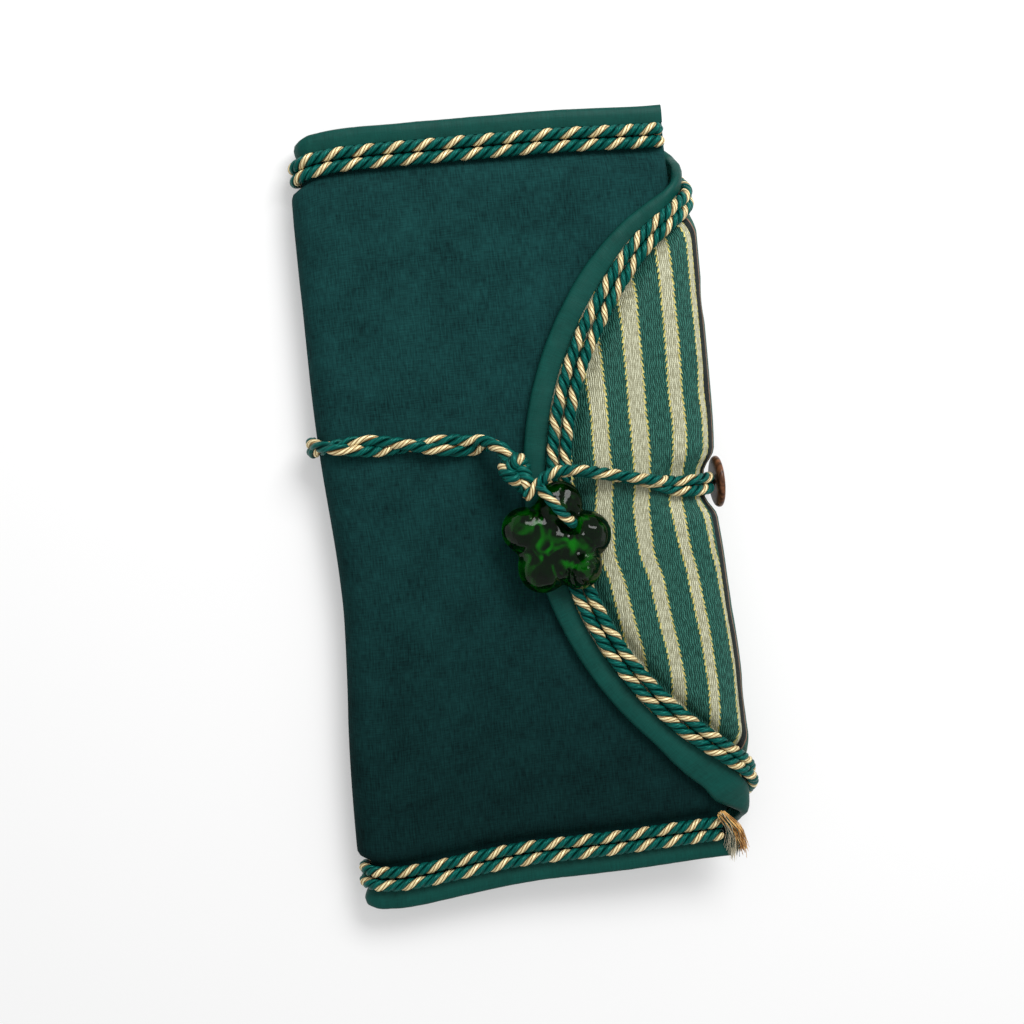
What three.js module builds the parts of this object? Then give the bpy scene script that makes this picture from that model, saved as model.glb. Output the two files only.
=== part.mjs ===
import * as THREE from "three";
import { mergeVertices } from "three/addons/utils/BufferGeometryUtils.js";

// A travel organizer roll, closed on its back. X runs across it, Y along it and Z up.
// Every soft piece is cut flat, as the maker cuts it, and is then laid round the folds.
// On the flat strip u runs along it, y across it and n through its thickness, from the lining out.
// u is 0 at the lower edge of the spine, negative over spine and flap, positive over back and front.

// The strip
const stripWidth = 235;
const thickness = 6;
const cloth = 0.5;
const air = 0.3;
const hingeGap = 0.3;
const backLength = 107;
const frontShort = 1;
const flapLength = 50.5;
const spineX = 53.8;
const leftFoldRadius = 7.5;
const spineLowerRadius = 7.4;
const spineWall = 7;
const spineUpperRadius = 12;
const slope = THREE.MathUtils.degToRad(2.8);
const flapEndLength = 130;
const deckMargin = 14;
const deckRamp = 4.2;
const seamFromFold = 4;
const foldSlant = 5.6;
const slantReach = 62;

// Binding, trim cords, hems and pockets
const bindingWidthFlap = 8;
const bindingWidthBody = 5.6;
const bindingWall = 0.5;
const cordDiameter = 3.6;
const cordSides = 7;
const hemWidth = 6;
const pocketFrom = 8;
const pocketDepth = 62;
const pocketMargin = 19.5;
const pocketMouth = 3;
const frayLength = 10.6;

// Tie cord, knot and groove that the tie presses into the padding
const tieWidth = 5.6;
const tieHeight = 2.7;
const tieFoldY = 24;
const grooveHalf = 4.2;
const grooveRamp = 5;
const grooveDepth = 3.2;
const knotLength = 15;
const knotRadius = 4.2;
const knotPlace = { x: -2.9, y: 8.5 };
const knotTurn = THREE.MathUtils.degToRad(118);

// Side button and its thread
const buttonRadius = 8;
const buttonHeight = 12.5;
const buttonThick = 2.2;
const buttonHole = 0.9;
const buttonHoleSpacing = 3.4;
const buttonRim = 0.6;
const threadRadius = 1.3;

// Glass flower bead
const beadHoleX = 11;
const beadHoleY = -7.3;
const beadThick = 9;
const beadBore = 2.2;
const beadLow = 0.78;
const beadFar = 20;
const petalBlend = 2.2;
// Each petal as a disc: x and y from the bore, and its radius. The last one fills the middle.
const beadPetals = [
  [-14.2, -1.6, 6.2],
  [-1.4, 6.2, 5.2],
  [2.9, -4.9, 6.6],
  [0.6, -14.2, 6.3],
  [-9.6, -14.2, 6.7],
  [-5.6, -6.4, 7.6],
];
const beadCordRadius = 1.25;

const halfWidth = stripWidth / 2;
const frontLength = backLength - frontShort;
const pocketHalfWidth = halfWidth - pocketMargin;

// The outer surface of the strip in the XZ plane, as lines and arcs on either side of u = 0.
const forward = [
  { line: backLength },
  { arc: leftFoldRadius, turn: Math.PI - slope },
  { line: frontLength },
  { arc: thickness, turn: Math.PI / 2 },
];
const backward = [
  { arc: spineLowerRadius, turn: Math.PI / 2 },
  { line: spineWall },
  { arc: spineUpperRadius, turn: Math.PI / 2 + slope },
  { line: flapLength },
];
const lengthOf = (part) => part.line ?? part.arc * part.turn;
const spineLength = backward.slice(0, 3).reduce((sum, part) => sum + lengthOf(part), 0);
const frontFrom = backLength + lengthOf(forward[1]);
const frontTo = frontFrom + frontLength;
const tipU = -(spineLength + flapLength);

// The point of the outer surface at u, with the direction that faces out of the roll.
function surfaceAt(u) {
  const side = u < 0 ? 1 : -1;
  let left = Math.abs(u);
  let heading = 0;
  let x = spineX;
  let z = 0;
  const parts = u < 0 ? backward : forward;
  for (const [i, part] of parts.entries()) {
    const last = i === parts.length - 1;
    const run = last ? left : Math.min(left, lengthOf(part));
    if (part.line) {
      x += side * run * Math.cos(heading);
      z += run * Math.sin(heading);
    } else {
      const turned = heading + run / part.arc;
      x += side * part.arc * (Math.sin(turned) - Math.sin(heading));
      z += part.arc * (Math.cos(heading) - Math.cos(turned));
      heading = turned;
    }
    left -= run;
    if (left <= 0) break;
  }
  return { x, z, outX: side * Math.sin(heading), outZ: -Math.cos(heading) };
}

// The strip was folded a little aslant, so that its lower end hangs long at the left fold.
function slanted(u, y) {
  const fromFold = Math.abs(u - (backLength + frontFrom) / 2);
  const share = 1 - THREE.MathUtils.smoothstep(fromFold, 0, slantReach);
  return y < 0 ? y * (1 + (share * foldSlant) / halfWidth) : y;
}

// Where a point of the flat strip lies on the roll.
function place(u, y, n) {
  const s = surfaceAt(u);
  const depth = thickness - n;
  return new THREE.Vector3(s.x - depth * s.outX, slanted(u, y), s.z - depth * s.outZ);
}

// The strip's edge on the flat: half an ellipse at the flap's end, then straight.
// q is 0 at the flap's tip and 1 where the straight edge starts.
function edgePoint(q, inset) {
  if (Math.abs(q) > 1) {
    const along = tipU + flapEndLength * (1 + (Math.abs(q) - 1));
    return { u: along, y: Math.sign(q) * (halfWidth - inset), outU: 0, outY: Math.sign(q) };
  }
  const angle = (q * Math.PI) / 2;
  const slopeU = -Math.cos(angle) / flapEndLength;
  const slopeY = Math.sin(angle) / halfWidth;
  const size = Math.hypot(slopeU, slopeY);
  const outU = slopeU / size;
  const outY = slopeY / size;
  return {
    u: tipU + flapEndLength * (1 - Math.cos(angle)) - inset * outU,
    y: halfWidth * Math.sin(angle) - inset * outY,
    outU,
    outY,
  };
}

// The edge coordinate at which the line that runs inset from the edge crosses u.
function edgeAt(u, inset) {
  let low = 0;
  let high = 1 + (frontTo - tipU) / flapEndLength;
  for (let i = 0; i < 40; i += 1) {
    const middle = (low + high) / 2;
    if (edgePoint(middle, inset).u < u) low = middle;
    else high = middle;
  }
  return (low + high) / 2;
}

const halfWidthAt = (u, inset) => edgePoint(edgeAt(u, inset), inset).y;

// How far a point of the strip lies from its long edge.
function edgeDistance(u, y) {
  if (u >= tipU + flapEndLength) return halfWidth - Math.abs(y);
  const across = y / halfWidth;
  const along = (flapEndLength - (u - tipU)) / flapEndLength;
  const ratio = Math.max(Math.hypot(across, along), 1e-6);
  const size = Math.hypot(along / flapEndLength, across / halfWidth) / ratio;
  return (1 - ratio) / Math.max(size, 1e-6);
}

const flapToBody = (u) => THREE.MathUtils.smoothstep(u, 0, backLength);
const bindingWidthAt = (u) =>
  THREE.MathUtils.lerp(bindingWidthFlap, bindingWidthBody, flapToBody(u));
const cordInset = (u, row) =>
  bindingWidthAt(u) + air + cordDiameter / 2 + row * (cordDiameter + air);

// The tie's line across the strip: over the flap, straight down the spine, aslant over back and front.
const flapTie = new THREE.CatmullRomCurve3(
  [
    [-spineLength, 0],
    [-spineLength - 6, 0.3],
    [-spineLength - 12, 2.7],
    [-spineLength - 21, 6.2],
    [-spineLength - 31, 8.2],
    [-spineLength - 39, 8.6],
    [-spineLength - 45.3, 8.0],
  ].map(([u, y]) => new THREE.Vector3(u, y, 0)),
);
function tieY(u) {
  if (u < 0) return 0;
  const frontEnd = frontFrom + frontLength / 2;
  if (u < backLength) return (tieFoldY * u) / backLength;
  return THREE.MathUtils.mapLinear(u, backLength, frontEnd, tieFoldY, tieFoldY - 7);
}

// How much of the tie's groove there is at a point, from 0 to 1.
function groove(u, y) {
  const { smoothstep } = THREE.MathUtils;
  const across = 1 - smoothstep(Math.abs(y - tieY(u)), grooveHalf, grooveHalf + grooveRamp);
  const overFold = 1 - smoothstep(u, backLength, backLength + leftFoldRadius * 1.5);
  const overFlap = smoothstep(u, -spineLength - 9, -spineLength - 2);
  return across * overFold * overFlap;
}

// The height of the outer cloth: low under the trim and the hem, full over the padding.
const marginLevel = 2.1;
function deck(u, y) {
  const { smoothstep } = THREE.MathUtils;
  const margin = marginAt(u);
  const fromEdge = smoothstep(edgeDistance(u, y), margin, margin + deckRamp);
  const fromHem = 1 - smoothstep(u, frontTo - hemWidth - 2 * deckRamp, frontTo - hemWidth);
  const full = THREE.MathUtils.lerp(marginLevel, thickness, fromEdge * fromHem);
  return Math.min(full, thickness - grooveDepth * groove(u, y));
}

// Six times the volume that the triangles close in, negative where they face inwards.
function volumeOf(position, index) {
  const [a, b, c] = [new THREE.Vector3(), new THREE.Vector3(), new THREE.Vector3()];
  let sum = 0;
  for (let i = 0; i < index.length; i += 3) {
    a.fromBufferAttribute(position, index[i]);
    b.fromBufferAttribute(position, index[i + 1]);
    c.fromBufferAttribute(position, index[i + 2]);
    sum += a.dot(b.cross(c));
  }
  return sum;
}

// A closed solid from triangles given as points, with equal points joined and empty faces dropped.
function solid(points) {
  const flat = new Float32Array(points.length * 3);
  points.forEach((point, i) => point.toArray(flat, i * 3));
  const soup = new THREE.BufferGeometry();
  soup.setAttribute("position", new THREE.BufferAttribute(flat, 3));
  const joined = mergeVertices(soup, 1e-3);
  const kept = [];
  const index = joined.index.array;
  for (let i = 0; i < index.length; i += 3) {
    const [a, b, c] = [index[i], index[i + 1], index[i + 2]];
    if (a !== b && b !== c && a !== c) kept.push(a, b, c);
  }
  joined.setIndex(volumeOf(joined.attributes.position, kept) < 0 ? kept.reverse() : kept);
  joined.computeVertexNormals();
  return joined;
}

const quad = (out, a, b, c, d) => out.push(a, b, c, a, c, d);

// A closed loft through rings of equal length, with its ends closed round their middles.
function loft(rings, closeEnds = true) {
  const out = [];
  const count = rings[0].length;
  for (let i = 0; i + 1 < rings.length; i += 1) {
    for (let j = 0; j < count; j += 1) {
      const k = (j + 1) % count;
      quad(out, rings[i][j], rings[i][k], rings[i + 1][k], rings[i + 1][j]);
    }
  }
  if (closeEnds) {
    cap(out, rings[0], true);
    cap(out, rings[rings.length - 1], false);
  }
  return solid(out);
}

// A flat end of a loft, cut into triangles in the plane of its own outline.
function cap(out, ring, first) {
  const normal = new THREE.Vector3();
  ring.forEach((point, i) => {
    normal.add(new THREE.Vector3().crossVectors(point, ring[(i + 1) % ring.length]));
  });
  normal.normalize();
  const turn = new THREE.Quaternion().setFromUnitVectors(normal, new THREE.Vector3(0, 0, 1));
  const flat = ring.map((point) => {
    const p = point.clone().applyQuaternion(turn);
    return new THREE.Vector2(p.x, p.y);
  });
  for (const [a, b, c] of THREE.ShapeUtils.triangulateShape(flat, [])) {
    if (first) out.push(ring[c], ring[b], ring[a]);
    else out.push(ring[a], ring[b], ring[c]);
  }
}

// A sheet of the strip between two heights, over a grid of flat points [u, y].
function sheet(grid, bottomAt, topAt) {
  const raised = (heightAt) => grid.map((row) => row.map(([u, y]) => place(u, y, heightAt(u, y))));
  const low = raised(bottomAt);
  const high = raised(topAt);
  const out = [];
  const [m, k] = [grid.length - 1, grid[0].length - 1];
  for (let i = 0; i < m; i += 1) {
    for (let j = 0; j < k; j += 1) {
      quad(out, high[i][j], high[i + 1][j], high[i + 1][j + 1], high[i][j + 1]);
      quad(out, low[i][j], low[i][j + 1], low[i + 1][j + 1], low[i + 1][j]);
    }
    quad(out, low[i][0], low[i + 1][0], high[i + 1][0], high[i][0]);
    quad(out, high[i][k], high[i + 1][k], low[i + 1][k], low[i][k]);
  }
  for (let j = 0; j < k; j += 1) {
    quad(out, low[0][j], high[0][j], high[0][j + 1], low[0][j + 1]);
    quad(out, high[m][j], low[m][j], low[m][j + 1], high[m][j + 1]);
  }
  return solid(out);
}

// Rows of u from one cut to another, a few on each line and arc that they cross.
function rowsBetween(from, to, step) {
  const count = Math.max(1, Math.round((to - from) / step));
  return Array.from({ length: count + 1 }, (_, i) => from + ((to - from) * i) / count);
}
const unique = (values) => values.filter((v, i) => i === 0 || v - values[i - 1] > 1e-3);

// Columns that follow the edges and the groove of the tie.
const marginAt = (u) => deckMargin + bindingWidthAt(u) - bindingWidthBody;
const clothInset = 1;
function columns(u) {
  const margin = marginAt(u);
  const outer = [clothInset, margin, margin + deckRamp / 2, margin + deckRamp];
  const edges = outer.map((inset) => halfWidthAt(u, inset));
  const inner = [grooveHalf, grooveHalf + grooveRamp / 2, grooveHalf + grooveRamp];
  const middle = [...inner.slice().reverse().map((v) => -v), ...inner].map((v) => v + tieY(u));
  return [...edges.map((v) => -v), ...middle, ...edges.slice().reverse()];
}
const clothGrid = (rows) => rows.map((u) => columns(u).map((y) => [u, y]));
const padGrid = (rows) => clothGrid(rows).map((row) => row.slice(2, -2));
function plainGrid(rows) {
  return rows.map((u) => [-1, 1].map((side) => [u, side * halfWidthAt(u, clothInset)]));
}
const stripGrid = (rows, half) => rows.map((u) => [-1, 1].map((side) => [u, side * half]));

// The flap's grid: lines parallel to its curved edge, and last its straight root.
const flapShares = [0, 0.07, 0.11, 0.15, 0.3, 0.46, 0.62, 0.78, 0.9, 1];
function flapGrid(insets, to) {
  const shares = [...flapShares.slice(1).reverse().map((t) => -t), ...flapShares];
  const rings = insets.map((inset) => {
    const end = edgeAt(to, inset);
    return shares.map((t) => {
      const point = edgePoint(t * end, inset);
      return [Math.abs(t) === 1 ? to : point.u, point.y];
    });
  });
  const rootHalf = 0.97 * halfWidthAt(to, insets[insets.length - 1]);
  return [...rings, shares.map((t) => [to, t * rootHalf])];
}

// The strip's parts between the folds: the body is one with the roll, spine and flap hinge.
const bodyFrom = hingeGap / 2;
const spineFrom = -spineLength + hingeGap / 2;
const spineTo = -hingeGap / 2;
const flapTo = -spineLength - hingeGap / 2;
const liningLow = bindingWall + air;
const cover = (grid) => sheet(grid, (u, y) => deck(u, y) - cloth, deck);
const liner = (grid) => sheet(grid, () => liningLow, () => liningLow + cloth);
const padLow = liningLow + cloth + air;
const pad = (grid) => sheet(grid, () => padLow, (u, y) => deck(u, y) - cloth - air);

// A binding: a strip folded round the raw edge, swept along it as a U.
const bindingTop = marginLevel + air + bindingWall;
function bindingSection(width) {
  const round = bindingTop / 2;
  const slotEnd = bindingWall + 0.05;
  const nose = [-60, -20, 20, 60].map((a) => {
    const angle = THREE.MathUtils.degToRad(a);
    return [round * (0.8 * Math.cos(angle) - 0.8), round * (1 + Math.sin(angle))];
  });
  return [
    [-width, 0],
    [-round, 0],
    ...nose,
    [-round, bindingTop],
    [-width, bindingTop],
    [-width, bindingTop - bindingWall],
    [-slotEnd, bindingTop - bindingWall],
    [-slotEnd, bindingWall],
    [-width, bindingWall],
  ];
}

// Rings of a section carried along the strip's edge; a is outwards from the line, n is the height.
function edgeRings(stations, sectionAt) {
  return stations.map(({ u, y, du, dy }) =>
    sectionAt(u).map(([a, n]) => place(u + a * du, y + a * dy, n)),
  );
}
const discSection = (radius, height, sides) => () =>
  Array.from({ length: sides }, (_, i) => {
    const angle = (i * 2 * Math.PI) / sides;
    return [radius * Math.cos(angle), height + radius * Math.sin(angle)];
  });
// Round the flap the sections stand square to the edge, apart from the two at the hinge.
function flapStations(inset, count) {
  const end = edgeAt(flapTo, inset);
  return Array.from({ length: count + 1 }, (_, i) => {
    const point = edgePoint(-end + (2 * end * i) / count, inset);
    if (i > 0 && i < count) return { u: point.u, y: point.y, du: point.outU, dy: point.outY };
    return { u: flapTo, y: point.y, du: 0, dy: 1 / point.outY };
  });
}
// Along the sides they stand square to the strip, at its own width across the edge.
function sideStations(side, us, insetAt) {
  return us.map((u) => {
    const point = edgePoint(edgeAt(Math.min(u, frontTo), insetAt(u)), insetAt(u));
    return { u, y: side * point.y, du: 0, dy: side / point.outY };
  });
}
const trimRows = (from, to) => [
  ...rowsBetween(from, backLength, 12),
  ...rowsBetween(backLength, frontFrom, 2),
  ...rowsBetween(frontFrom, to, 27),
];
const cordLevel = marginLevel + air + cordDiameter / 2;

// The model's middle lies halfway between its two ends.
const model = new THREE.Group();
model.position.y = foldSlant / 2;
const finish = {
  brocade: { color: 0x1c5a4c, roughness: 0.7, metalness: 0.05 },
  darkCloth: { color: 0x153f3d, roughness: 0.85, metalness: 0 },
  satin: { color: 0x1a4f47, roughness: 0.55, metalness: 0 },
  lining: { color: 0x2a5a50, roughness: 0.8, metalness: 0 },
  batting: { color: 0xe6e1d2, roughness: 0.95, metalness: 0 },
  cord: { color: 0x7a7a3a, roughness: 0.5, metalness: 0.15 },
  glass: { color: 0x0b4a1c, roughness: 0.05, metalness: 0 },
  horn: { color: 0x4a2618, roughness: 0.35, metalness: 0 },
  thread: { color: 0x123d36, roughness: 0.8, metalness: 0 },
};
const materials = Object.fromEntries(
  Object.entries(finish).map(([name, values]) => [name, new THREE.MeshStandardMaterial(values)]),
);
function add(name, material, geometry, parent = model) {
  const mesh = new THREE.Mesh(geometry, materials[material]);
  mesh.name = name;
  parent.add(mesh);
  return mesh;
}

// Body of the strip: back panel, left fold and front panel
const seamRows = [backLength - seamFromFold - air / 2, backLength - seamFromFold + air / 2];
const backRows = [...rowsBetween(bodyFrom, seamRows[0], 18), seamRows[1], backLength];
const foldRows = rowsBetween(backLength, frontFrom, 2);
const padTo = frontTo - hemWidth - deckRamp;
const frontRows = [...rowsBetween(frontFrom, padTo - deckRamp, 24), padTo - deckRamp / 2, padTo];
const hemRows = [padTo + deckRamp / 2, frontTo - hemWidth, frontTo - clothInset];
const wholeBody = unique([...backRows, ...foldRows, ...frontRows]);
const coverRows = [...wholeBody, ...hemRows];
add("body_lining", "lining", liner(plainGrid(coverRows)));
add("body_padding", "batting", pad(padGrid(wholeBody)));
add("back_cover", "brocade", cover(clothGrid(coverRows.filter((u) => u <= seamRows[0]))));
add("front_cover", "darkCloth", cover(clothGrid(coverRows.filter((u) => u >= seamRows[1]))));

// Slip pockets on the inner side, each with a bound mouth
function pocket(name, from, to, mouthFirst) {
  const mouth = mouthFirst ? [from, from + pocketMouth] : [to - pocketMouth, to];
  const panel = mouthFirst ? [mouth[1] + air, to] : [from, mouth[0] - air];
  add(`${name}_pocket`, "lining", sheet(stripGrid(panel, pocketHalfWidth), () => 0, () => cloth));
  add(`${name}_pocket_mouth`, "satin", sheet(stripGrid(mouth, pocketHalfWidth), () => -cloth, () => cloth));
}
pocket("back", pocketFrom, pocketFrom + pocketDepth, false);
pocket("front", frontTo - hemWidth - air - pocketDepth, frontTo - hemWidth - air, true);

// The hem that closes the front panel's free edge
const hemSection = bindingSection(hemWidth);
const hemHalf = halfWidth - cordInset(frontTo, 1) - cordDiameter / 2 - air;
add(
  "front_hem",
  "darkCloth",
  loft([-hemHalf, hemHalf].map((y) => hemSection.map(([a, n]) => place(frontTo + a, y, n)))),
);

// Spine of the roll, and the flap that closes it
const spineRows = unique([
  ...rowsBetween(spineFrom, -spineLength + lengthOf(backward[2]), 2.8),
  ...rowsBetween(-lengthOf(backward[0]), spineTo, 2),
]);
add("spine_lining", "lining", liner(plainGrid(spineRows)));
add("spine_padding", "batting", pad(padGrid(spineRows)));
add("spine_cover", "brocade", cover(clothGrid(spineRows)));
const flapMargin = marginAt(flapTo);
const flapRise = [clothInset, flapMargin, flapMargin + deckRamp / 2, flapMargin + deckRamp];
const flapInsets = [...flapRise, ...[13, 9, 6, 3].map((fromRoot) => flapLength - fromRoot)];
add("flap_lining", "lining", liner(flapGrid([clothInset], flapTo)));
add("flap_padding", "batting", pad(flapGrid(flapInsets.slice(2), flapTo)));
add("flap_cover", "brocade", cover(flapGrid(flapInsets, flapTo)));

// Bindings and the two trim cords beside them, on each long edge and round the flap
const bindingAt = (u) => bindingSection(bindingWidthAt(u));
const noInset = () => 0;
for (const [side, where] of [
  [1, "top"],
  [-1, "bottom"],
]) {
  const bodyEdge = sideStations(side, unique(trimRows(bodyFrom, frontTo)), noInset);
  add(`${where}_binding`, "satin", loft(edgeRings(bodyEdge, bindingAt)));
  const spineEdge = sideStations(side, spineRows, noInset);
  add(`spine_binding_${where}`, "satin", loft(edgeRings(spineEdge, bindingAt)));
  for (const [row, name] of ["outer", "inner"].entries()) {
    const inset = (u) => cordInset(u, row);
    const round = discSection(cordDiameter / 2, cordLevel, cordSides);
    const tuck = side > 0 ? rowsBetween(frontTo, frontTo + 7.5, 1.9) : [];
    const cordLine = sideStations(side, unique([...trimRows(bodyFrom, frontTo), ...tuck]), inset);
    add(`${where}_cord_${name}`, "cord", loft(edgeRings(cordLine, round)));
    const spineLine = sideStations(side, spineRows, inset);
    add(`spine_cord_${where}_${name}`, "cord", loft(edgeRings(spineLine, round)));
  }
}
const flapSection = () => bindingSection(bindingWidthFlap);
add("flap_binding", "satin", loft(edgeRings(flapStations(0, 28), flapSection)));
for (const [row, name] of ["outer", "inner"].entries()) {
  const line = flapStations(cordInset(flapTo, row), 28);
  const round = discSection(cordDiameter / 2, cordLevel, cordSides);
  add(`flap_cord_${name}`, "cord", loft(edgeRings(line, round)));
}

// The frayed end of the trim at the lower corner of the front panel
const frayAt = place(frontTo + air, -(halfWidth - cordInset(frontTo, 0) - cordDiameter / 2), cordLevel);
const frayRings = [0, 0.25, 0.6, 0.9, 1].map((t, i) => {
  const radius = [1.5, 2.1, 2.6, 3, 2.2][i];
  const centre = frayAt.clone().add(new THREE.Vector3(1.6 + 3.4 * t, 1.5 - frayLength * t, -0.6 * t));
  return Array.from({ length: 12 }, (_, k) => {
    const angle = (k * Math.PI) / 6;
    const reach = radius * (k % 2 ? 1 : 0.72);
    return centre.clone().add(new THREE.Vector3(reach * Math.cos(angle), 0, 0.8 * reach * Math.sin(angle)));
  });
});
add("frayed_cord_end", "cord", loft(frayRings));

// The tie: a doubled cord, flat on the cloth, as an oval run along its line
function tieRings(stations) {
  return stations.map(([u, y, n]) =>
    Array.from({ length: 10 }, (_, k) => {
      const angle = (k * Math.PI) / 5;
      const across = (tieWidth / 2) * Math.cos(angle);
      return place(u, y + across, n + (tieHeight / 2) * Math.sin(angle));
    }),
  );
}
const tieLow = thickness - grooveDepth + air + tieHeight / 2;
const tieHigh = thickness + air + tieHeight / 2;
const tieLevel = (u) => THREE.MathUtils.lerp(tieHigh, tieLow, groove(u - air, tieY(u - air)));
const onTie = (u) => [u, tieY(u), tieLevel(u)];
const foldMiddle = backLength + (leftFoldRadius * Math.PI) / 2;
const shankGap = threadRadius + 2 * air;
const buttonU = -(spineLowerRadius * (Math.PI / 2) + buttonHeight - spineLowerRadius);
add(
  "tie_back",
  "cord",
  loft(
    tieRings(
      unique([
        ...rowsBetween(bodyFrom, backLength, 15),
        ...rowsBetween(backLength, foldMiddle - hingeGap / 2, 2.3),
      ]).map(onTie),
    ),
  ),
);
add("tie_spine_lower", "cord", loft(tieRings(rowsBetween(buttonU + shankGap, spineTo, 2.8).map(onTie))));
add("tie_spine_upper", "cord", loft(tieRings(rowsBetween(spineFrom, buttonU - shankGap, 2.8).map(onTie))));
const flapTieStations = Array.from({ length: 15 }, (_, i) => {
  const p = flapTie.getPoint(i / 14);
  const u = Math.min(p.x, flapTo);
  return [u, p.y, tieLevel(u)];
}).reverse();
add("tie_flap", "cord", loft(tieRings(flapTieStations)));

// The frame of the flap's outer cloth: local X and Y lie in it, Z faces out.
const flapFrame = new THREE.Group();
const hinge = place(-spineLength, 0, thickness);
flapFrame.position.copy(hinge);
flapFrame.rotation.y = -slope;
model.add(flapFrame);
const flapTop = (x, y, up) => new THREE.Vector3((x - hinge.x) / Math.cos(slope), y, up);

// The knot that joins the tie's two stretches and holds the bead: three turns of the doubled cord
const turns = 3;
const knotProfile = Array.from({ length: 19 }, (_, i) => {
  const t = i / 18;
  const bulge = 0.84 + 0.16 * Math.abs(Math.sin(t * turns * Math.PI));
  const round = Math.sqrt(Math.max(0, 1 - Math.pow(2 * t - 1, 6)));
  return new THREE.Vector2(i === 0 || i === 18 ? 0 : knotRadius * bulge * round, knotLength * (t - 0.5));
});
const knotShape = new THREE.LatheGeometry(knotProfile, 16);
knotShape.deleteAttribute("uv");
knotShape.deleteAttribute("normal");
const knot = add("tie_knot", "cord", mergeVertices(knotShape, 1e-3), flapFrame);
const knotRise = knotRadius - (thickness - bindingTop) + air + 0.2;
knot.position.copy(flapTop(knotPlace.x, knotPlace.y, knotRise));
knot.rotation.z = knotTurn - Math.PI / 2;

// The glass flower bead: lobed petals round a bore, thick at the petals and dished at the middle
const beadGroup = new THREE.Group();
beadGroup.position.copy(flapTop(beadHoleX, beadHoleY, air));
flapFrame.add(beadGroup);
// How far the petals reach from the bore at an angle, with soft notches, and how high they stand there.
function petal(angle) {
  const reaches = beadPetals.map(([x, y, radius]) => {
    const near = x * Math.cos(angle) + y * Math.sin(angle);
    const room = radius * radius - (x * x + y * y - near * near);
    return room > 0 ? Math.max(0, near + Math.sqrt(room)) : 0;
  });
  const reach = Math.log(reaches.reduce((sum, r) => sum + Math.exp(r * petalBlend), 0)) / petalBlend;
  return { reach, high: THREE.MathUtils.lerp(beadLow, 1, Math.min(1, reach / beadFar)) };
}
const beadSteps = 72;
const beadProfile = [
  [0, 0.12],
  [0, 0.62],
  [0.16, 0.78],
  [0.42, 1],
  [0.68, 0.97],
  [0.88, 0.82],
  [1, 0.55],
  [0.97, 0.28],
  [0.82, 0.08],
  [0.5, 0],
  [0.2, 0],
];
const beadRings = Array.from({ length: beadSteps + 1 }, (_, i) => {
  const angle = ((i % beadSteps) * 2 * Math.PI) / beadSteps;
  const { reach, high } = petal(angle);
  return beadProfile.map(([t, h]) => {
    const out = THREE.MathUtils.lerp(beadBore, reach, t);
    const x = out * Math.cos(angle);
    const y = out * Math.sin(angle);
    return new THREE.Vector3(x, y, beadThick * h * (h > 0.3 ? high : 1));
  });
});
add("glass_flower_bead", "glass", loft(beadRings, false), beadGroup);

// The short cord from the knot, over the petals and down into the bead's bore
function tube(points, radius, sides, steps) {
  const outline = new THREE.Shape();
  for (let i = 0; i <= sides; i += 1) {
    const angle = (i * 2 * Math.PI) / sides;
    outline[i ? "lineTo" : "moveTo"](radius * Math.cos(angle), radius * Math.sin(angle));
  }
  const line = new THREE.CatmullRomCurve3(points);
  const made = new THREE.ExtrudeGeometry(outline, { steps, extrudePath: line, bevelEnabled: false });
  made.deleteAttribute("uv");
  made.deleteAttribute("normal");
  return mergeVertices(made, 1e-3);
}
const beadCordTop = air + beadThick + air + beadCordRadius;
add(
  "bead_cord",
  "cord",
  tube(
    [
      flapTop(3.1, 5.6, knotRise + 3.2),
      flapTop(3.2, 3.8, beadCordTop - 2.4),
      flapTop(4.2, 1.4, beadCordTop + 0.1),
      flapTop(6.4, -1.8, beadCordTop + 0.5),
      flapTop(8.6, -4.8, beadCordTop - 0.6),
      flapTop(beadHoleX, beadHoleY, beadCordTop - 4),
      flapTop(beadHoleX, beadHoleY, beadThick * 0.3),
    ],
    beadCordRadius,
    8,
    22,
  ),
  flapFrame,
);

// The left stretch of the tie, from the fold over the front panel up to the knot
const leftEnd = new THREE.Vector3(knotPlace.x - 5.6, knotPlace.y + 8.6, hinge.z - 1.6);
function tieLeft() {
  const us = [
    ...rowsBetween(foldMiddle + hingeGap / 2, frontFrom, 2.4),
    ...rowsBetween(frontFrom + 6, frontFrom + 38, 8),
  ];
  const rings = tieRings(us.map((u) => [u, tieY(u), tieHigh]));
  const last = rings[rings.length - 1];
  const middle = last.reduce((sum, p) => sum.add(p), new THREE.Vector3()).divideScalar(last.length);
  const climb = new THREE.CatmullRomCurve3([
    middle,
    middle.clone().lerp(leftEnd, 0.5).add(new THREE.Vector3(0, 0.6, -0.8)),
    leftEnd,
  ]);
  for (const t of [0.35, 0.7, 1]) {
    const shift = climb.getPoint(t).sub(middle);
    rings.push(last.map((p) => p.clone().add(shift)));
  }
  return loft(rings);
}
add("tie_left", "cord", tieLeft());

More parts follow.
